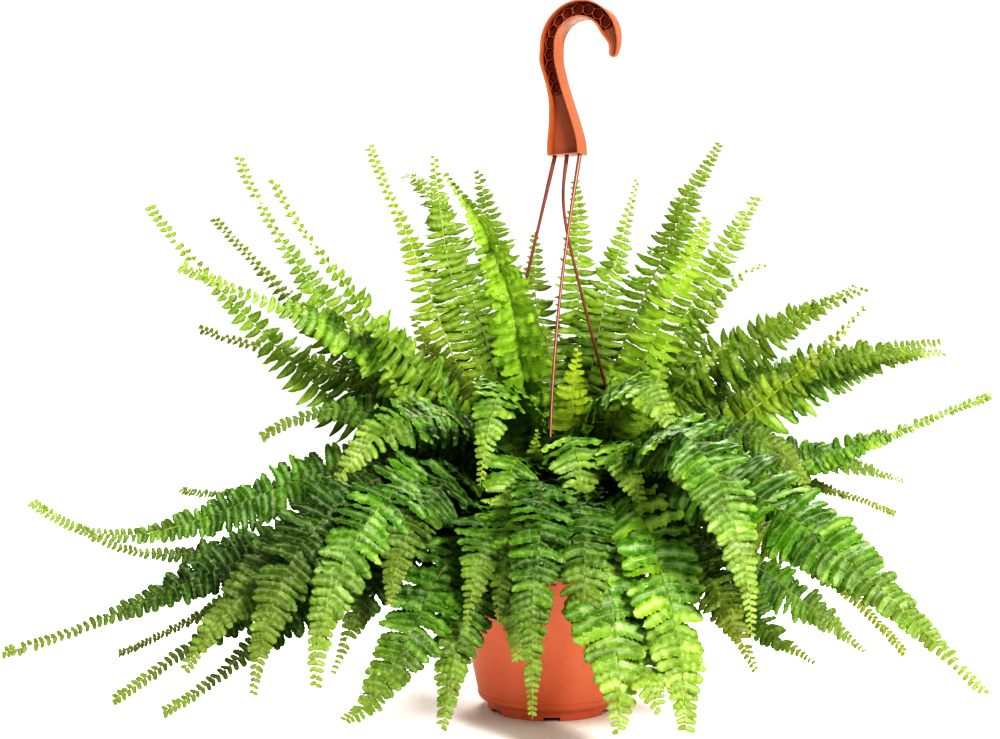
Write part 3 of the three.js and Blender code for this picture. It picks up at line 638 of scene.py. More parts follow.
# ---- fronds: the same table and curves as the solids ----
# Each row is the azimuth, the root's distance (None: it springs from the root above it), then
# [distance, height] of the two handles and of the tip, the width and the tint.
FRONDS = [
    # back right
    (52, 30, [20, 230], [90, 360], [136, 447], 42, "bright"),
    (47, None, [120, 250], [240, 200], [290, 90], 50, "deep"),
    (38, 24, [35, 250], [140, 400], [204, 486], 44, "deep"),
    (35, None, [110, 260], [240, 240], [320, 150], 48, "deep"),
    # right
    (25, 22, [60, 230], [150, 350], [208, 433], 42, "bright"),
    (21, 36, [90, 250], [210, 310], [300, 352], 42, "deep"),
    (17, None, [110, 240], [250, 210], [335, 176], 40, "deep"),
    (12, 26, [110, 200], [260, 310], [358, 290], 44, "bright"),
    (7, 38, [90, 270], [230, 285], [340, 302], 40, "deep"),
    (2, None, [110, 220], [220, 190], [290, 157], 30, "olive"),
    (357, 30, [45, 250], [150, 300], [260, 345], 56, "deep"),
    (353, None, [110, 190], [190, 100], [256, 50], 40, "deep"),
    (14, None, [40, 260], [150, 200], [200, 260], 46, "bright"),
    (349, 36, [100, 170], [240, 215], [350, 260], 34, "bright"),
    (344, 18, [50, 190], [120, 345], [178, 362], 44, "bright"),
    (333, None, [80, 230], [180, 270], [215, 185], 44, "deep"),
    (339, 30, [70, 180], [190, 250], [255, 328], 44, "young"),
    (354, None, [90, 220], [170, 190], [270, 120], 46, "deep"),
    # front right
    (332, 14, [30, 210], [110, 320], [138, 399], 40, "bright"),
    (307, None, [20, 260], [100, 310], [150, 225], 42, "bright"),
    (327, 48, [110, 200], [230, 160], [298, 76], 34, "olive"),
    (322, None, [120, 190], [190, 80], [240, 64], 38, "deep"),
    (323, None, [50, 190], [90, 210], [110, 300], 40, "bright"),
    (317, 62, [66, 160], [80, 190], [90, 226], 24, "young"),
    (311, 34, [90, 250], [240, 210], [398, 79], 75, "bright"),
    (308, None, [50, 230], [130, 260], [175, 180], 44, "bright"),
    (304, None, [110, 210], [210, 120], [246, 72], 40, "olive"),
    (339, None, [60, 250], [90, 240], [150, 300], 44, "bright"),
    (299, 34, [120, 290], [255, 260], [262, 100], 46, "bright"),
    (296, None, [40, 230], [110, 260], [150, 170], 44, "bright"),
    # front
    (292, None, [90, 240], [215, 180], [230, 34], 50, "bright"),
    (287, 54, [70, 200], [150, 120], [232, 52], 44, "bright"),
    (281, 36, [110, 230], [190, 150], [215, 32], 60, "bright"),
    (276, None, [100, 230], [180, 190], [186, 88], 42, "deep"),
    (262, None, [40, 270], [70, 160], [95, 235], 40, "bright"),
    (279, 16, [30, 230], [95, 270], [125, 165], 44, "bright"),
    (295, None, [20, 250], [50, 220], [50, 295], 40, "young"),
    (265, 30, [100, 260], [205, 200], [203, 40], 42, "deep"),
    (260, 46, [100, 200], [160, 170], [167, 70], 44, "bright"),
    (256, None, [90, 220], [160, 190], [176, 96], 44, "bright"),
    (253, 30, [40, 220], [110, 250], [140, 150], 44, "bright"),
    (250, None, [90, 210], [175, 180], [190, 97], 42, "deep"),
    (247, None, [100, 250], [170, 110], [214, 33], 44, "deep"),
    (224, None, [30, 220], [70, 260], [85, 295], 44, "deep"),
    (243, 14, [20, 290], [110, 310], [124, 186], 48, "bright"),
    # front left
    (240, 50, [90, 290], [200, 50], [285, 50], 50, "deep"),
    (202, None, [80, 260], [180, 210], [190, 170], 46, "deep"),
    (236, 30, [90, 240], [190, 210], [212, 110], 42, "deep"),
    (232, 12, [14, 260], [50, 370], [136, 429], 54, "bright"),
    (229, 22, [55, 240], [250, 230], [255, 57], 52, "bright"),
    (234, None, [50, 190], [110, 250], [155, 250], 42, "deep"),
    (225, 50, [90, 200], [190, 150], [228, 60], 42, "deep"),
    (222, None, [110, 270], [275, 200], [284, 52], 46, "deep"),
    (218, 14, [30, 270], [150, 270], [212, 190], 50, "bright"),
    (214, 44, [110, 240], [260, 160], [318, 67], 50, "deep"),
    # left
    (210, 22, [40, 200], [100, 230], [158, 251], 52, "bright"),
    (206, 56, [120, 200], [250, 60], [320, 30], 42, "deep"),
    (202, None, [120, 230], [280, 70], [353, 34], 44, "deep"),
    (204, None, [50, 220], [120, 220], [140, 280], 46, "bright"),
    (199, 18, [50, 250], [185, 330], [230, 426], 44, "bright"),
    (196, 46, [120, 220], [290, 100], [430, 69], 44, "deep"),
    (189, None, [80, 260], [190, 260], [235, 225], 48, "deep"),
    (192, 24, [50, 290], [180, 310], [299, 358], 52, "bright"),
    (187, 52, [130, 210], [280, 80], [380, 153], 40, "deep"),
    (184, None, [90, 230], [200, 150], [235, 110], 46, "deep"),
    (182, 38, [120, 330], [300, 60], [425, 172], 44, "bright"),
    (177, 20, [90, 190], [270, 310], [337, 418], 46, "bright"),
    (172, 48, [130, 210], [280, 60], [375, 32], 38, "olive"),
    (168, None, [80, 280], [230, 285], [311, 313], 42, "olive"),
    (164, 14, [80, 220], [225, 325], [282, 467], 44, "bright"),
    (174, None, [80, 230], [140, 310], [185, 330], 42, "bright"),
    (160, 50, [130, 240], [260, 150], [355, 169], 38, "deep"),
    # back left
    (156, 28, [90, 210], [250, 330], [335, 418], 44, "olive"),
    (145, 16, [60, 230], [155, 390], [196, 482], 44, "young"),
    (120, None, [10, 240], [60, 270], [70, 335], 42, "deep"),
    (141, 48, [120, 240], [250, 200], [320, 110], 48, "deep"),
    (157, None, [40, 220], [100, 260], [125, 325], 44, "olive"),
    (136, 22, [60, 220], [125, 360], [141, 470], 42, "bright"),
    (130, None, [50, 270], [165, 490], [208, 452], 40, "bright"),
    # back
    (124, 50, [110, 230], [220, 160], [280, 60], 46, "deep"),
    (119, 34, [100, 280], [230, 260], [310, 170], 48, "deep"),
    (112, 18, [40, 240], [125, 370], [157, 462], 42, "bright"),
    (106, 46, [120, 250], [240, 220], [300, 90], 48, "deep"),
    (102, None, [80, 290], [190, 370], [260, 310], 46, "bright"),
    (106, None, [40, 210], [100, 210], [105, 300], 46, "deep"),
    (96, 16, [40, 220], [95, 330], [112, 402], 36, "deep"),
    (90, 50, [110, 230], [200, 160], [250, 60], 44, "deep"),
    (85, 32, [100, 300], [230, 290], [300, 200], 46, "bright"),
    (78, None, [40, 200], [80, 290], [100, 300], 44, "deep"),
    (78, 46, [120, 260], [250, 230], [310, 110], 48, "deep"),
    (73, None, [70, 290], [180, 380], [250, 330], 46, "bright"),
    (60, None, [50, 220], [90, 270], [110, 345], 44, "bright"),
    (67, 18, [50, 230], [100, 400], [60, 440], 38, "bright"),
    (92, None, [20, 270], [40, 320], [55, 320], 42, "deep"),
    (62, 50, [110, 230], [200, 150], [240, 50], 46, "deep"),
    (58, None, [100, 300], [240, 300], [310, 190], 48, "deep"),
    (35, None, [30, 250], [110, 240], [165, 320], 44, "bright"),
]


def spot(pair, azimuth):
    return np.array([*polar(pair[0], azimuth), pair[1]])


def hosts():
    """For each row, the root that it springs from and the number of its node."""
    found = []
    node = 0
    for azimuth, root, *_ in FRONDS:
        if root is not None:
            node += 1
            host = (root, azimuth)
        found.append((host, node))
    return found


def rib_table(row, host):
    """The rib at even shares of its length: shares, points and length."""
    azimuth, _, lift, fall, tip = row[:5]
    foot = spot([host[0], SOIL_TOP + STEM_CLEAR], host[1])
    a, b, c, d = foot, spot(lift, azimuth), spot(fall, azimuth), spot(tip, azimuth)
    t = np.linspace(0, 1, 400)[:, None]
    s = 1 - t
    points = s**3 * a + 3 * s * s * t * b + 3 * s * t * t * c + t**3 * d
    run = run_along(points)
    even = np.linspace(0, 1, RIB_STATIONS)
    return even, rows_at(even, run / run[-1], points), run[-1]


def sideways(azimuth):
    return np.array([math.sin(math.radians(azimuth)), -math.cos(math.radians(azimuth)), 0])


def wander(even, points, azimuth, rng):
    """Small sideways and upward swings of the rib, none at its foot."""
    side = sideways(azimuth)
    swing = np.zeros((len(even), 3))
    for count, size in RIB_SWINGS:
        phase = rng.uniform(0, 2 * math.pi, 2)
        swing += side * (np.sin(2 * math.pi * count * even + phase[0]) * size)[:, None]
        swing[:, 2] += np.sin(2 * math.pi * count * even + phase[1]) * size * 0.6
    return points + swing * np.clip(even * 4, 0, 1)[:, None]


def stands_in_front(row):
    return math.sin(math.radians(row[0])) < -0.45 and row[4][1] > UPRIGHT_FROM


class Rib:
    """A frond's rib, with the side and upward directions of its blade at any share."""

    def __init__(self, row, host, rng):
        self.azimuth = row[0]
        self.even, points, self.length = rib_table(row, host)
        self.points = wander(self.even, points, row[0], rng)
        self.slopes = unit(np.gradient(self.points, axis=0))
        way = -1 if stands_in_front(row) else 1
        self.twist = math.radians(way * TWIST_TO_LIGHT * math.cos(math.radians(row[0])))
        self.roll = rng.uniform(-0.12, 0.12)

    def at(self, share):
        point = rows_at(share, self.even, self.points)
        slope = unit(rows_at(share, self.even, self.slopes))
        flat = sideways(self.azimuth)
        side = unit(flat - (slope @ flat)[:, None] * slope)
        turn = ((self.twist + self.roll * share) * ease(share, 0, 0.45))[:, None]
        side, _ = rotate(turn, side, np.cross(slope, side))
        return point, slope, side, np.cross(side, slope)


def rib_tube(rib):
    """The rib's tube: sunk in the soil, round, and thinner towards the tip."""
    share = np.concatenate([[0, 0], np.linspace(0.004, 1.0, 46)])
    point, _, side, up = rib.at(share)
    point[0, 2] = SOIL_TOP - STEM_SUNK
    radius = np.interp(share, [0, 0.25, 0.6, 1], [STEM_HALF * 1.12, 0.92, 0.66, 0.24])
    points, faces = tube(point, side, up, radius, RIB_RING)
    return points, faces, np.concatenate([np.repeat(share, RIB_RING), [0, 1]])


def leaf_shape():
    """Stations along a leaflet, with its half width at each as a share of the largest for a
    tapered, an oblong and a pointed leaflet, the scallops of its edge and the ear at its base."""
    along = np.concatenate([np.linspace(0, 0.86, LEAF_STATIONS - 3), [0.92, 0.965, 1.0]])
    round_end = np.where(along > 0.76, np.sqrt(np.clip(1 - ((along - 0.76) / 0.245) ** 2, 0, 1)), 1)
    foot = np.minimum(1, 0.8 + along / 0.1 * 0.2)
    tapered = foot * (1.05 - 0.34 * along) * round_end
    oblong = foot * (1.03 - 0.14 * along) * round_end
    pointed = (0.66 + 0.34 * ease(along, 0, 0.28)) * (1 - 0.97 * along ** 2.3)
    scallop = np.where(np.arange(LEAF_STATIONS) % 2 == 0, -1.0, 1.0) * np.clip(along * 8, 0, 1)
    scallop[-1] = 0
    ear = np.exp(-((along - 0.06) / 0.06) ** 2)
    return along, tapered, oblong, pointed, scallop, ear


ALONG, TAPERED, OBLONG, POINTED, SCALLOP, EAR = leaf_shape()


def leaf_faces():
    """Quads of one leaflet. A station's points go once round it: the lower edge, the blade,
    the midrib, the blade, the upper edge, and the midrib's underside."""
    start = np.arange(LEAF_STATIONS - 1)[:, None, None] * LEAF_RING
    spin = np.arange(LEAF_RING)
    nxt = (spin + 1) % LEAF_RING
    walls = np.stack([spin, spin + LEAF_RING, nxt + LEAF_RING, nxt], axis=-1)
    last = (LEAF_STATIONS - 1) * LEAF_RING
    caps = np.array([[0, 1, 2, 5], [2, 3, 4, 5]])
    return np.vstack([(start + walls).reshape(-1, 4), caps, last + caps[:, ::-1]])


LEAF_FACES = leaf_faces()


class Habit:
    """How a frond's leaflets grow. Hanging fronds have broad, crowded, wavy leaflets. Upright
    fronds have narrow ones that stand apart and curve upwards. A wide frond that stands in
    front is folded along its rib and painted paler as a painted highlight, and the widest fronds
    have oblong leaflets, painted darker as painted shade."""

    def __init__(self, row, rng):
        azimuth, _, _, _, tip, self.wide, _ = row
        full = self.wide > FULL_WIDTH
        crested = full and stands_in_front(row)
        self.rise = 0.1 if crested else float(ease(tip[1], HANGING_TIP, UPRIGHT_TIP))
        if full and within(azimuth, LEFT_FULL):
            self.rise *= 0.3
        self.fold = CRESTED_FOLD if crested else between(FOLD, self.rise)
        self.oblong = float(ease(self.wide, OBLONG_FROM, OBLONG_FULL))
        pitch = between(PITCH_BASE, self.rise) + between(PITCH_SHARE, self.rise) * self.wide
        self.pitch = min(pitch, WIDEST_PITCH) * (1 - 0.24 * self.oblong)
        if crested:
            self.wide *= CRESTED_SHARE
        broad = within(azimuth, FRONT_FULL) and self.rise < 0.5
        if broad:
            self.pitch *= 1.2
        self.set_taper(azimuth, tip, 0.08 if broad else -0.2 * self.oblong, rng)
        # Painted light in the leaflets' colour: painted shade darkens the fronds in the shade of others and
        # the oblong leaflets, and a painted highlight makes a folded frond in front paler.
        in_shade = tip[1] < SHADE_HEIGHT and any(within(azimuth, side) for side in SHADED)
        self.tone_and_painted_light = -0.4 if in_shade else 0.4 if crested else -0.4 * self.oblong

    def set_taper(self, azimuth, tip, blunt, rng):
        """Where the leaflets start and stop to shorten, and how long the last ones are."""
        slender = self.wide < SLENDER_WIDTH or (within(azimuth, SLENDER_SIDE) and tip[0] > SLENDER_REACH)
        self.tip_length = 0.2 if slender else 0.1
        self.taper = (0.38, 0.86)
        if not slender:
            self.taper = (rng.uniform(0.44, 0.6) + blunt, rng.uniform(0.98, 1.1) + 0.3 * blunt)

    def places(self, length, hand, rng):
        """Shares along the rib where leaflets stand, closer together towards the tip."""
        pitch = self.pitch / length
        share = FIRST_LEAF + (0.5 * pitch if hand < 0 else 0)
        found = []
        while share < LAST_LEAF:
            found.append(share)
            share += pitch * self.crowding(self.blade(share)) * rng.uniform(0.88, 1.12)
        return np.array(found)

    def blade(self, share):
        return (share - FIRST_LEAF) / (1 - FIRST_LEAF)

    def crowding(self, blade):
        return 1 - between(CROWDING, self.rise) * blade ** between(CROWDING_POWER, self.rise)

    def lengths(self, blade):
        full = between(LEAF_REACH, self.rise) * self.wide / 2 / math.cos(math.radians(LEAF_SWEEP))
        full = full * (1 - 0.14 * self.oblong)
        outer = 1 - (1 - self.tip_length) * ease(blade, *self.taper)
        return full * np.minimum(1, 0.5 + 2.2 * blade) * outer


def clear_of_rigid(tips):
    """False where a leaflet's tip would reach into the pot's rim or the hook's foot."""
    reach = np.hypot(tips[:, 0], tips[:, 1])
    in_pot = (reach < EAR_REACH + 5) & (tips[:, 2] < RIM_HEIGHT + 3)
    off_hook = np.hypot(tips[:, 0] - HOOK_BASE[0], tips[:, 1] - HOOK_BASE[1])
    in_hook = (off_hook < 20) & (tips[:, 2] > HOOK_BASE[2] - 4)
    return ~(in_pot | in_hook)


class LeafRow:
    """The leaflets on one side of a rib, where they spring from it."""

    def __init__(self, rib, habit, hand, rng):
        self.habit = habit
        self.rng = rng
        share = habit.places(rib.length, hand, rng)
        length = habit.lengths(habit.blade(share)) * rng.normal(1, 0.07, len(share)).clip(0.78, 1.18)
        point, slope, side, up = rib.at(share)
        self.count = len(share)
        fold = self.angles(habit.fold, between(FOLD_SWING, habit.rise))
        out, over = rotate(fold, hand * side, up)
        kept = clear_of_rigid(point + out * length[:, None]) & (rng.random(len(share)) > LOST_LEAVES)
        self.count = int(kept.sum())
        self.share, self.length = share[kept], length[kept]
        self.point, self.slope, self.out, self.over = point[kept], slope[kept], out[kept], over[kept]
        self.blade = habit.blade(self.share)
        self.calm = ((1 - 0.6 * self.blade ** 2) * (1 - 0.45 * habit.oblong))[:, None]

    def angles(self, middle, swing):
        """A random angle for each leaflet, in radians, as a column."""
        return np.radians(self.rng.normal(middle, swing, self.count))[:, None]

    def midribs(self):
        """Points along each midrib, with the directions across the blade and off its face."""
        rise = self.habit.rise
        oblong = self.habit.oblong
        along = ALONG[None, :]
        heading = self.angles(between(HEADING, rise), 4)
        heading = heading + np.radians(16 * (1 - 0.8 * oblong) * self.blade ** 2)[:, None]
        bend = between(BEND, rise) + 8 * oblong
        heading = heading + self.angles(bend, between(BEND_SWING, rise)) * along ** 1.3
        droop = self.angles(between(DROOP, rise), 6) * self.calm
        droop = droop + self.angles(between(DROOP_BEND, rise), 13) * along * self.calm
        ahead, cross = rotate(heading[..., None], self.out[:, None], self.slope[:, None])
        axis, normal = rotate(-droop[..., None], ahead, self.over[:, None])
        steps = np.diff(ALONG, prepend=0)[None, :, None] * self.length[:, None, None]
        foot = self.point + self.out * between(ROOT_OFFSET, rise)
        middle = foot[:, None] + np.cumsum(axis * steps, axis=1)
        sag = self.length * self.rng.uniform(0.0, 0.06, self.count)
        middle[..., 2] -= sag[:, None] * along ** 2
        turn = self.angles(between(TURN, rise), between(TURN_SWING, rise))
        turn = turn + self.angles(0, between(TURN_BEND_SWING, rise)) * along * self.calm
        across, upward = rotate(turn[..., None], cross, normal)
        return middle, across, upward

    def widths(self):
        """Half the width of each leaflet, its outline, and how far its two edges are out."""
        habit = self.habit
        room = habit.pitch * habit.crowding(self.blade)
        half = 0.5 * between(LEAF_WIDTH, habit.rise) * room
        half = half * self.rng.normal(1, 0.08, self.count).clip(0.8, 1.2) * (1 + 0.1 * habit.oblong)
        half = np.minimum(half, 0.29 * self.length + 0.4)[:, None]
        pointed = np.clip(habit.rise + self.rng.normal(0, 0.12, self.count), 0, 1)[:, None]
        body = between((between((TAPERED, OBLONG), habit.oblong), POINTED), pointed)
        teeth = 1 + self.rng.uniform(*between(TEETH, habit.rise), self.count)[:, None] * SCALLOP
        return half, body, half * body * teeth, half * (body * teeth + between(LOBE, habit.rise) * EAR)

    def section(self):
        """How far the midrib is off its line, and how far across and off the blade the six
        points of each station are."""
        half, body, low, high = self.widths()
        along = ALONG[None, :]
        phase = self.rng.uniform(0, 2 * math.pi, (3, self.count))[..., None]
        wave = self.rng.uniform(1.6, 3.8, (3, self.count))[..., None]
        rooted = np.clip(along * 5, 0, 1)
        ripple = np.sin(2 * math.pi * wave * along + phase) * rooted * half
        ripple = ripple * np.array([0.24, 0.24, 0.1])[:, None, None] * between(RIPPLE, self.habit.rise)
        ripple = ripple * self.calm * np.minimum(1, self.length / 9)[:, None]
        curl = self.rng.normal(-0.12, 0.16, (2, self.count))[..., None] * half * rooted
        bulge = self.rng.uniform(0.05, 0.2, (2, self.count))[..., None] * half * np.clip(body, 0.15, 1)
        thick = LEAF_THICK * np.interp(ALONG, [0, 0.1, 1], [1.5, 1, 0.4]) * np.minimum(1, half / 3)
        edges = curl + ripple[:2]
        blades = (edges + thick) / 2 + bulge
        return ripple[2], [(-low, edges[0]), (-low / 2, blades[0]), (0 * low, thick),
                           (high / 2, blades[1]), (high, edges[1]), (0 * low, -thick)]


def leaflets(rib, habit, hand, rng):
    """Points, faces, tone and place on the leaf of all the leaflets on one side of a rib."""
    row = LeafRow(rib, habit, hand, rng)
    middle, across, upward = row.midribs()
    lift, lay = row.section()
    middle = middle + upward * lift[..., None]
    points = np.stack([middle + across * a[..., None] + upward * b[..., None] for a, b in lay], axis=2)
    each = LEAF_STATIONS * LEAF_RING
    faces = ((np.arange(row.count) * each)[:, None, None] + LEAF_FACES[None]).reshape(-1, 4)
    tone = np.ones((row.count, LEAF_STATIONS, LEAF_RING, 4))
    tone[..., 0] = row.share[:, None, None]
    # A random tone for each leaflet, made darker by the frond's painted shade, or paler by its painted
    # highlight.
    tone[..., 1] = (rng.random(row.count) + habit.tone_and_painted_light).clip(-0.3, 1)[:, None, None]
    tone[..., 2] = np.array([0.5, 0, 0, 0, 0.5, 1])
    on_leaf = np.zeros((row.count, LEAF_STATIONS, LEAF_RING, 2))
    on_leaf[..., 0] = ALONG[:, None]
    on_leaf[..., 1] = np.array([0, 0.25, 0.5, 0.75, 1, 0.5])
    return points.reshape(-1, 3), [faces[:, ::hand]], tone.reshape(-1, 4), on_leaf.reshape(-1, 2)


def hairs(rib, rng):
    """Fine brown scales along the lower rib, each a slim three-sided spike."""
    share = rng.beta(1.0, 1.8, HAIR_COUNT) * 0.8 + 0.02
    point, slope, side, up = rib.at(share)
    out, _ = rotate(rng.uniform(0, 2 * math.pi, HAIR_COUNT)[:, None], side, up)
    cross = np.cross(slope, out)
    root = point + out * 0.55
    reach = 0.9 + HAIR_LENGTH * rng.uniform(0.4, 1, HAIR_COUNT)[:, None]
    tip = point + out * reach + slope * rng.uniform(0.3, 1.6, HAIR_COUNT)[:, None]
    base = [root + way * HAIR_WIDTH for way in (cross, slope - cross * 0.5, -slope - cross * 0.5)]
    points = np.stack([*base, tip], axis=1).reshape(-1, 3)
    corner = np.array([[0, 1, 2], [0, 3, 1], [1, 3, 2], [2, 3, 0]])
    faces = ((np.arange(HAIR_COUNT) * 4)[:, None, None] + corner[None]).reshape(-1, 3)
    return points, [faces], np.repeat(share * 0.2, 4)


def frond_parts(row, host, rng):
    """The parts of one frond, its rib, hairs and two rows of leaflets, each as points, faces,
    tone and place on the leaf. Also how far the frond stands up."""
    rib = Rib(row, host, rng)
    habit = Habit(row, rng)
    chance = RIB_TONES[row[6]] + rng.uniform(-0.1, 0.1)
    parts = []
    for points, faces, share in (rib_tube(rib), hairs(rib, rng)):
        tone = np.stack([share, np.full(len(share), chance), 0 * share, 0 * share + 1], axis=-1)
        parts.append((points, faces, tone, np.zeros((len(points), 2))))
    parts += [leaflets(rib, habit, hand, rng) for hand in (1, -1)]
    return parts, habit.rise


def frond_piece(name, rows, host, leaf_looks, stem_look, rng):
    tints = list(dict.fromkeys(row[6] for row in rows))
    parts = []
    looks = []
    stand = []
    for row in rows:
        made, rise = frond_parts(row, host, rng)
        parts += made
        looks += [len(tints)] * 2 + [tints.index(row[6])] * 2
        stand += [np.full(len(part[0]), rise, np.float32) for part in made]
    points, faces = join(parts)
    piece = mesh_piece(name, points, faces, [leaf_looks[tint] for tint in tints] + [stem_look], 70)
    mesh = piece.data
    index = [np.full(len(group), look) for size in (4, 3) for part, look in zip(parts, looks)
             for group in part[1] if group.shape[1] == size]
    mesh.polygons.foreach_set("material_index", np.concatenate(index))
    paint(piece, "tone", np.vstack([part[2] for part in parts]))
    layer = mesh.attributes.new("stand", "FLOAT", "POINT")
    layer.data.foreach_set("value", np.concatenate(stand))
    corners = np.zeros(len(mesh.loops), np.int32)
    mesh.loops.foreach_get("vertex_index", corners)
    on_leaf = np.vstack([part[3] for part in parts])
    layer = mesh.uv_layers.new(name="leaf")
    layer.data.foreach_set("uv", on_leaf[corners].astype(np.float32).ravel())
    return piece


def build_fronds():
    leaf_looks = {tint: leaf_material(tint) for tint in LEAF_COLOURS}
    stem_look = stem_material()
    grouped = {}
    for row, (host, node) in zip(FRONDS, hosts()):
        grouped.setdefault(node, (host, []))[1].append(row)
    for node, (host, rows) in grouped.items():
        rng = np.random.default_rng(1000 + node)
        piece = frond_piece(f"fern_frond_{node:02d}", rows, host, leaf_looks, stem_look, rng)
        stand_for(piece, "fronds_" + rows[0][6], f"frond_{node:02d}")


# ---- pot ----
def pot_profile():
    neck_inside = NECK_RADIUS - WALL
    lip = RIM_HEIGHT - LIP_HEIGHT
    corners = [  # radius, height and rounding
        (0, FLOOR_BOTTOM, 0), (FOOT_INNER, FLOOR_BOTTOM, 0.8),
        (FOOT_INNER + 0.4, 0, 0.8), (FOOT_OUTER, 0, 1),
        (FOOT_OUTER + 0.5, FLOOR_BOTTOM, 0.8), (BASE_RADIUS - 2, FLOOR_BOTTOM, 1.2),
        (BASE_RADIUS, FLOOR_TOP, 1.5), (BASE_RADIUS + 0.6, FLOOR_TOP + 3, 0),
        (BASE_RADIUS + 0.2, FLOOR_TOP + 3.3, 0), (NECK_RADIUS - 0.6, lip - 3, 2),
        (NECK_RADIUS, lip, 0.6), (RIM_RADIUS - 0.6, lip, 1),
        (RIM_RADIUS, lip + 2.5, 1.5), (RIM_RADIUS, RIM_HEIGHT - 1.6, 1.6),
        (RIM_RADIUS - 2, RIM_HEIGHT, 1.6), (neck_inside + 1.2, RIM_HEIGHT, 1.2),
        (neck_inside, lip, 2), (BASE_RADIUS - WALL, FLOOR_TOP, 2), (0, FLOOR_TOP, 0),
    ]
    return rounded([c[:2] for c in corners], [c[2] for c in corners])


def build_pot():
    look = plastic("pot_plastic", "bc6040", "c4704e", "b67e5e", 0.46)
    points, faces = lathe(pot_profile(), 160)
    body = mesh_piece("fern_pot", points, faces, [look])
    ears = []
    holes = []
    for azimuth in EAR_AZIMUTHS:
        ear = block(EAR_SIZE, [EAR_REACH, 0, EAR_BOTTOM + EAR_SIZE[2] / 2], azimuth)
        bevel(ear, 1.4, 3)
        ears.append(ear)
        holes.append(rod(EYE_RADIUS, 3 * EAR_SIZE[2], [*polar(EAR_REACH, azimuth), EAR_BOTTOM + 4]))
    cut(body, ears, "UNION")
    for i in range(NOTCH_COUNT):
        size = [12, NOTCH_WIDTH, 2 * NOTCH_HEIGHT]
        holes.append(block(size, [(FOOT_INNER + FOOT_OUTER) / 2, 0, 0], 30 + i * 360 / NOTCH_COUNT))
    for i in range(DRAIN_COUNT):
        holes.append(rod(DRAIN_RADIUS, 20, [*polar(DRAIN_CIRCLE, i * 360 / DRAIN_COUNT), FLOOR_TOP]))
    cut(body, holes)
    smooth(body, 35)
    stand_for(body, "pot_plastic", "pot")


# ---- soil ----
def build_soil():
    """A crumbly bed of the solid's outline, with loose crumbs on it."""
    rng = np.random.default_rng(7)
    slope = (NECK_RADIUS - BASE_RADIUS) / (RIM_HEIGHT - LIP_HEIGHT - FLOOR_TOP)
    edge_top = BASE_RADIUS - WALL - SEAT_GAP + slope * (SOIL_TOP - FLOOR_TOP)
    edge_bottom = BASE_RADIUS - WALL - SEAT_GAP + slope * SEAT_GAP
    bottom = FLOOR_TOP + SEAT_GAP
    radii = [edge_top, *np.linspace(edge_top - 1, 2.5, 40), 0]
    points, faces = lathe([(0, bottom), (edge_bottom, bottom)] + [(r, SOIL_TOP) for r in radii], 120)
    on_top = points[:, 2] > SOIL_TOP - 1
    inside = np.hypot(points[:, 0], points[:, 1]) < edge_top - 0.5
    lumps = np.zeros(len(points))
    for _ in range(70):
        wave = rng.normal(0, 0.22, 2)
        lumps += np.sin(points[:, :2] @ wave + rng.uniform(0, 6.3)) * 0.22
    lumps += rng.normal(0, 0.25, len(points))
    points[:, 2] += np.where(on_top & inside, lumps, 0)
    crumbs = [crumb(rng, edge_top) for _ in range(CRUMB_COUNT)]
    points, faces = join([(points, faces), *crumbs])
    piece = mesh_piece("fern_soil", points, faces, [soil_material()])
    stand_for(piece, "soil", "soil")


def crumb(rng, edge):
    """A lump of soil: an eight-sided stone pushed out of shape."""
    corners = np.vstack([sign * axis for axis in np.eye(3) for sign in (1, -1)])
    tris = [[0, 2, 4], [2, 1, 4], [1, 3, 4], [3, 0, 4], [2, 0, 5], [1, 2, 5], [3, 1, 5], [0, 3, 5]]
    size = rng.uniform(0.9, 2.6)
    corners = corners * size * rng.uniform(0.6, 1.2, (6, 1))
    radius = edge * 0.95 * math.sqrt(rng.random())
    turn = rng.uniform(0, 360)
    return corners + np.array([*polar(radius, turn), SOIL_TOP + size * 0.3]), [np.array(tris)]


# ---- hook ----
def hook_edges():
    """The outer and inner edge of the hook's band from its tip to its foot, along and up."""
    degrees = np.arange(TIP_DEGREE, 181, 4.0)
    share = between((TIP_SHARE, 1), ease(degrees, TIP_DEGREE, TAPER_FROM))
    middle = ARCH_RADIUS + (1 - share) * ARCH_BAND / 2
    half = ARCH_BAND / 2 * share
    spokes = np.stack([np.cos(np.radians(degrees)), np.sin(np.radians(degrees))], axis=-1)
    stem = np.array(HOOK_STEM)
    edges = []
    for side in (1, -1):
        arch = spokes * (middle + side * half)[:, None]
        below = np.stack([stem[:, 0] - side * stem[:, 2] / 2, stem[:, 1]], axis=-1)
        edges.append(np.vstack([arch[:-1], curve_through(np.vstack([arch[-1], below]), 6, 0)]))
    return edges


def hook_place(points):
    """Points as along, across the depth, up from the arch's centre, turned into the plant's frame."""
    centre = np.array([HOOK_CENTRE[0], 0, HOOK_CENTRE[1]])
    return turned(np.asarray(points, float) + centre, HOOK_TURN) + np.array(HOOK_BASE)


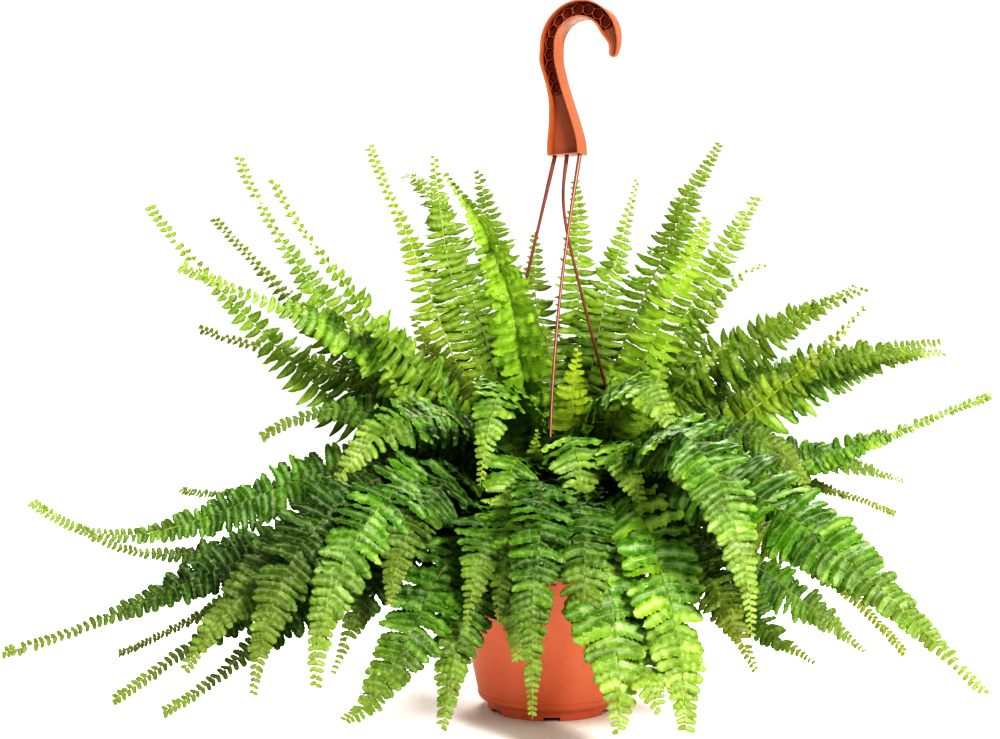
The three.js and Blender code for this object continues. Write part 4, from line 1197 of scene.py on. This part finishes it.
def hook_rows():
    """The outer and inner point of each section of the band from its tip to its foot, whether it
    has a recess, and how much painted shade that gets: 0 for none, 0.5 where the web is plain
    and 1 under the honeycomb."""
    outer, inner = hook_edges()
    run = run_along((outer + inner) / 2)
    middle, reach = (outer[0] + inner[0]) / 2, (outer[0] - inner[0]) / 2
    down = np.array([reach[1], -reach[0]])
    rows = []
    for degree in (88, 68, 50, 34, 17):
        low, wide = math.sin(math.radians(degree)) * down, math.cos(math.radians(degree)) * reach
        rows.append((middle + low + wide, middle + low - wide, 0.5 if degree < 50 else 0))
    for i in range(len(outer)):
        comb = COMB_SPAN[0] - 5 < run[i] < COMB_SPAN[1] + 5
        rows.append((outer[i], inner[i], (1 if comb else 0.5) * (run[i] < run[-1] - FOOT_RIM)))
    across = unit(inner[-1] - outer[-1])
    rows.pop()
    for lift, inset in ((0.9, 0.0), (0.25, 0.35), (0, 1.1)):
        up = np.array([0, lift])
        rows.append((outer[-1] + up + across * inset, inner[-1] + up - across * inset, 0))
    return rows


def hook_rings():
    """Rings of the band's section, and how much painted shade each one's recess gets. Where the
    recess starts or stops there are two."""
    rings = []
    recess_shade = []
    before = 0
    for outer, inner, depth in hook_rows():
        changes = (depth > 0) != (before > 0)
        for mark in ([before, depth] if changes else [depth]):
            rings.append(hook_ring(outer, inner, mark > 0))
            recess_shade.append(mark)
        before = depth
    return np.array(rings), np.array(recess_shade, float)


def hook_ring(outer, inner, is_open):
    """The twelve points of the band's section: an H where it is open, a plain bar where not."""
    width = np.linalg.norm(inner - outer)
    across = (inner - outer) / width
    middle = (inner + outer) / 2
    wall = min(HOOK_RIM, width / 4)
    deep = HOOK_DEPTH / 2
    if middle[0] > 0:
        deep = float(np.clip(deep - THIN_SLOPE * (THIN_FROM - middle[1]), 1.5, deep))
    web = min(WEB_THICKNESS / 2, deep - 0.4) if is_open else deep
    draft = 0.25
    face = [(0, deep), (wall - draft, deep), (wall + draft, web),
            (width - wall - draft, web), (width - wall + draft, deep), (width, deep)]
    lay = [(n, -y) for n, y in face] + face[::-1]
    return [[outer[0] + across[0] * n, y, outer[1] + across[1] * n] for n, y in lay]


def honeycomb(side):
    """Six-sided walls along the recess in one face of the hook, rising from the web."""
    outer, inner = hook_edges()
    middle = (outer + inner) / 2
    run = run_along(middle)
    size = (COMB_SPAN[1] - COMB_SPAN[0]) / (COMB_COUNT - 1) / math.sqrt(3)
    low, high = side * WEB_THICKNESS / 2 * 0.8, side * (WEB_THICKNESS / 2 + COMB_RISE)
    angle = np.radians(30 + 60 * np.arange(6))[:, None]
    made = []
    for distance in np.linspace(*COMB_SPAN, COMB_COUNT):
        centre, after = rows_at([distance, distance + 1], run, middle)
        ahead = unit(after - centre)
        cross = np.array([-ahead[1], ahead[0]])
        spokes = np.cos(angle) * ahead + 0.86 * np.sin(angle) * cross
        points = []
        for radius, depth in ((size + 0.25, low), (size + 0.25, high), (size - 0.3, high), (size - 0.3, low)):
            points += [[x, depth, z] for x, z in centre + radius * spokes]
        made.append((np.array(points), [ring_faces(4, 6, closed=True)[:, ::-side]]))
    return made


def build_hook():
    # The recess colour 5c2414 is a painted shade, darker than the hook's plastic.
    look = plastic("hook_plastic", "7a4526", "844c2e", "8c5c3c", 0.4, recess="5c2414")
    rings, recess_shade = hook_rings()
    recess = np.zeros((len(recess_shade), HOOK_RING))
    recess[:, [2, 3, 8, 9]] = recess_shade[:, None]
    cells = honeycomb(1) + honeycomb(-1)
    # Painted shade on the honeycomb: its walls are painted darker at their foot on the web than at their top.
    walls = np.tile(np.repeat([0.95, 0.35, 0.35, 0.95], 6), len(cells))
    recess = np.concatenate([recess.ravel(), [0, 0], walls])
    points, faces = join([swept(rings), *cells])
    piece = mesh_piece("hanger_hook", hook_place(points), faces, [look])
    paint(piece, "recess", np.stack([recess, recess, recess, np.ones(len(recess))], axis=-1))
    bevel(piece, 0.5, 2, 50)
    smooth(piece, 45)
    stand_for(piece, "hook_plastic", "hook")


# ---- strands ----
def strand_path(index):
    """A strand's points, from its socket in the hook's foot to the knob under its ear."""
    seat = turned([STRAND_SEATS[index], 0, SOCKET_DEPTH - SEAT_GAP], HOOK_TURN) + np.array(HOOK_BASE)
    eye = polar(EAR_REACH, EAR_AZIMUTHS[index])
    heights = [KNOB_TOP + 1.5 * STRAND_LEAD, KNOB_TOP + STRAND_LEAD, KNOB_TOP - KNOB_HEIGHT / 2]
    points = [seat, *STRAND_ROUTES[index], *([*eye, height] for height in heights)]
    return curve_through(points, 16, 0.5)


def build_strand(index, look):
    path = strand_path(index)
    slope = unit(np.gradient(path, axis=0))
    side = unit(np.cross(slope, np.array([0.3, -1.0, 0.05])))
    radius = np.interp(np.linspace(0, 1, len(path)), [0.04, 0.12, 0.9], [1.75, 1.3, 1.15])
    strand = tube(path, side, np.cross(side, slope), radius, 12, STRAND_FLATNESS)
    bottom = KNOB_TOP - KNOB_HEIGHT
    profile = [(0, bottom), (2.4, bottom), (3, KNOB_TOP - 0.6), (2.4, KNOB_TOP), (0, KNOB_TOP)]
    knob, knob_faces = lathe(rounded(profile, [0, 1.2, 0.8, 0.8, 0]), 20)
    points, faces = join([strand, (knob + path[-1] * np.array([1, 1, 0]), knob_faces)])
    piece = mesh_piece(f"hanger_strand_{index + 1}", points, faces, [look])
    stand_for(piece, "strand_plastic", f"strand_{index + 1}")


# ---- studio ----
def build_stage():
    half = FLOOR_HALF / MM
    points = [[-half, -half, 0], [half, -half, 0], [half, half, 0], [-half, half, 0]]
    floor = mesh_piece("studio_floor", points, [np.array([[0, 1, 2, 3]])], [floor_material()])


def area_light(name, at, aim, size, power, colour=(1, 1, 1)):
    data = bpy.data.lights.new(name, "AREA")
    data.shape = "DISK"
    data.size = size
    data.energy = power
    data.color = colour
    lamp = bpy.data.objects.new(name, data)
    lamp.location = at
    lamp.rotation_euler = (Vector(aim) - Vector(at)).to_track_quat("-Z", "Y").to_euler()
    bpy.context.scene.collection.objects.link(lamp)


def build_lights():
    world = bpy.data.worlds.new("studio")
    bpy.context.scene.world = world
    world.use_nodes = True
    background = world.node_tree.nodes["Background"]
    background.inputs["Color"].default_value = (1, 1, 1, 1)
    background.inputs["Strength"].default_value = 0.7
    middle = (0, 0, 0.25)
    area_light("key", (1.2, -1.85, 1.5), middle, 0.6, 101, (1, 0.99, 0.95))
    area_light("fill", (-1.5, -1.4, 1.2), middle, 0.8, 8)
    area_light("back", (0.1, 1.7, 1.8), middle, 0.9, 80)


def build_camera():
    data = bpy.data.cameras.new("camera")
    data.lens = CAMERA_LENS
    data.sensor_width = 36
    data.shift_y = CAMERA_SHIFT
    camera = bpy.data.objects.new("camera", data)
    camera.location = (AXIS[0] + CAMERA_ASIDE, AXIS[1] - CAMERA_BACK, CAMERA_HEIGHT)
    camera.rotation_euler = (math.radians(90), 0, 0)
    bpy.context.scene.collection.objects.link(camera)
    bpy.context.scene.camera = camera


build_camera()
build_stage()
build_lights()
build_pot()
build_soil()
build_hook()
strand_look = plastic("strand_plastic", "58281a", "643422", "7a4a3a", 0.4)
for number in range(3):
    build_strand(number, strand_look)
build_fronds()
bpy.context.scene.view_settings.view_transform = "Standard"
bpy.context.scene.view_settings.look = "Very High Contrast"
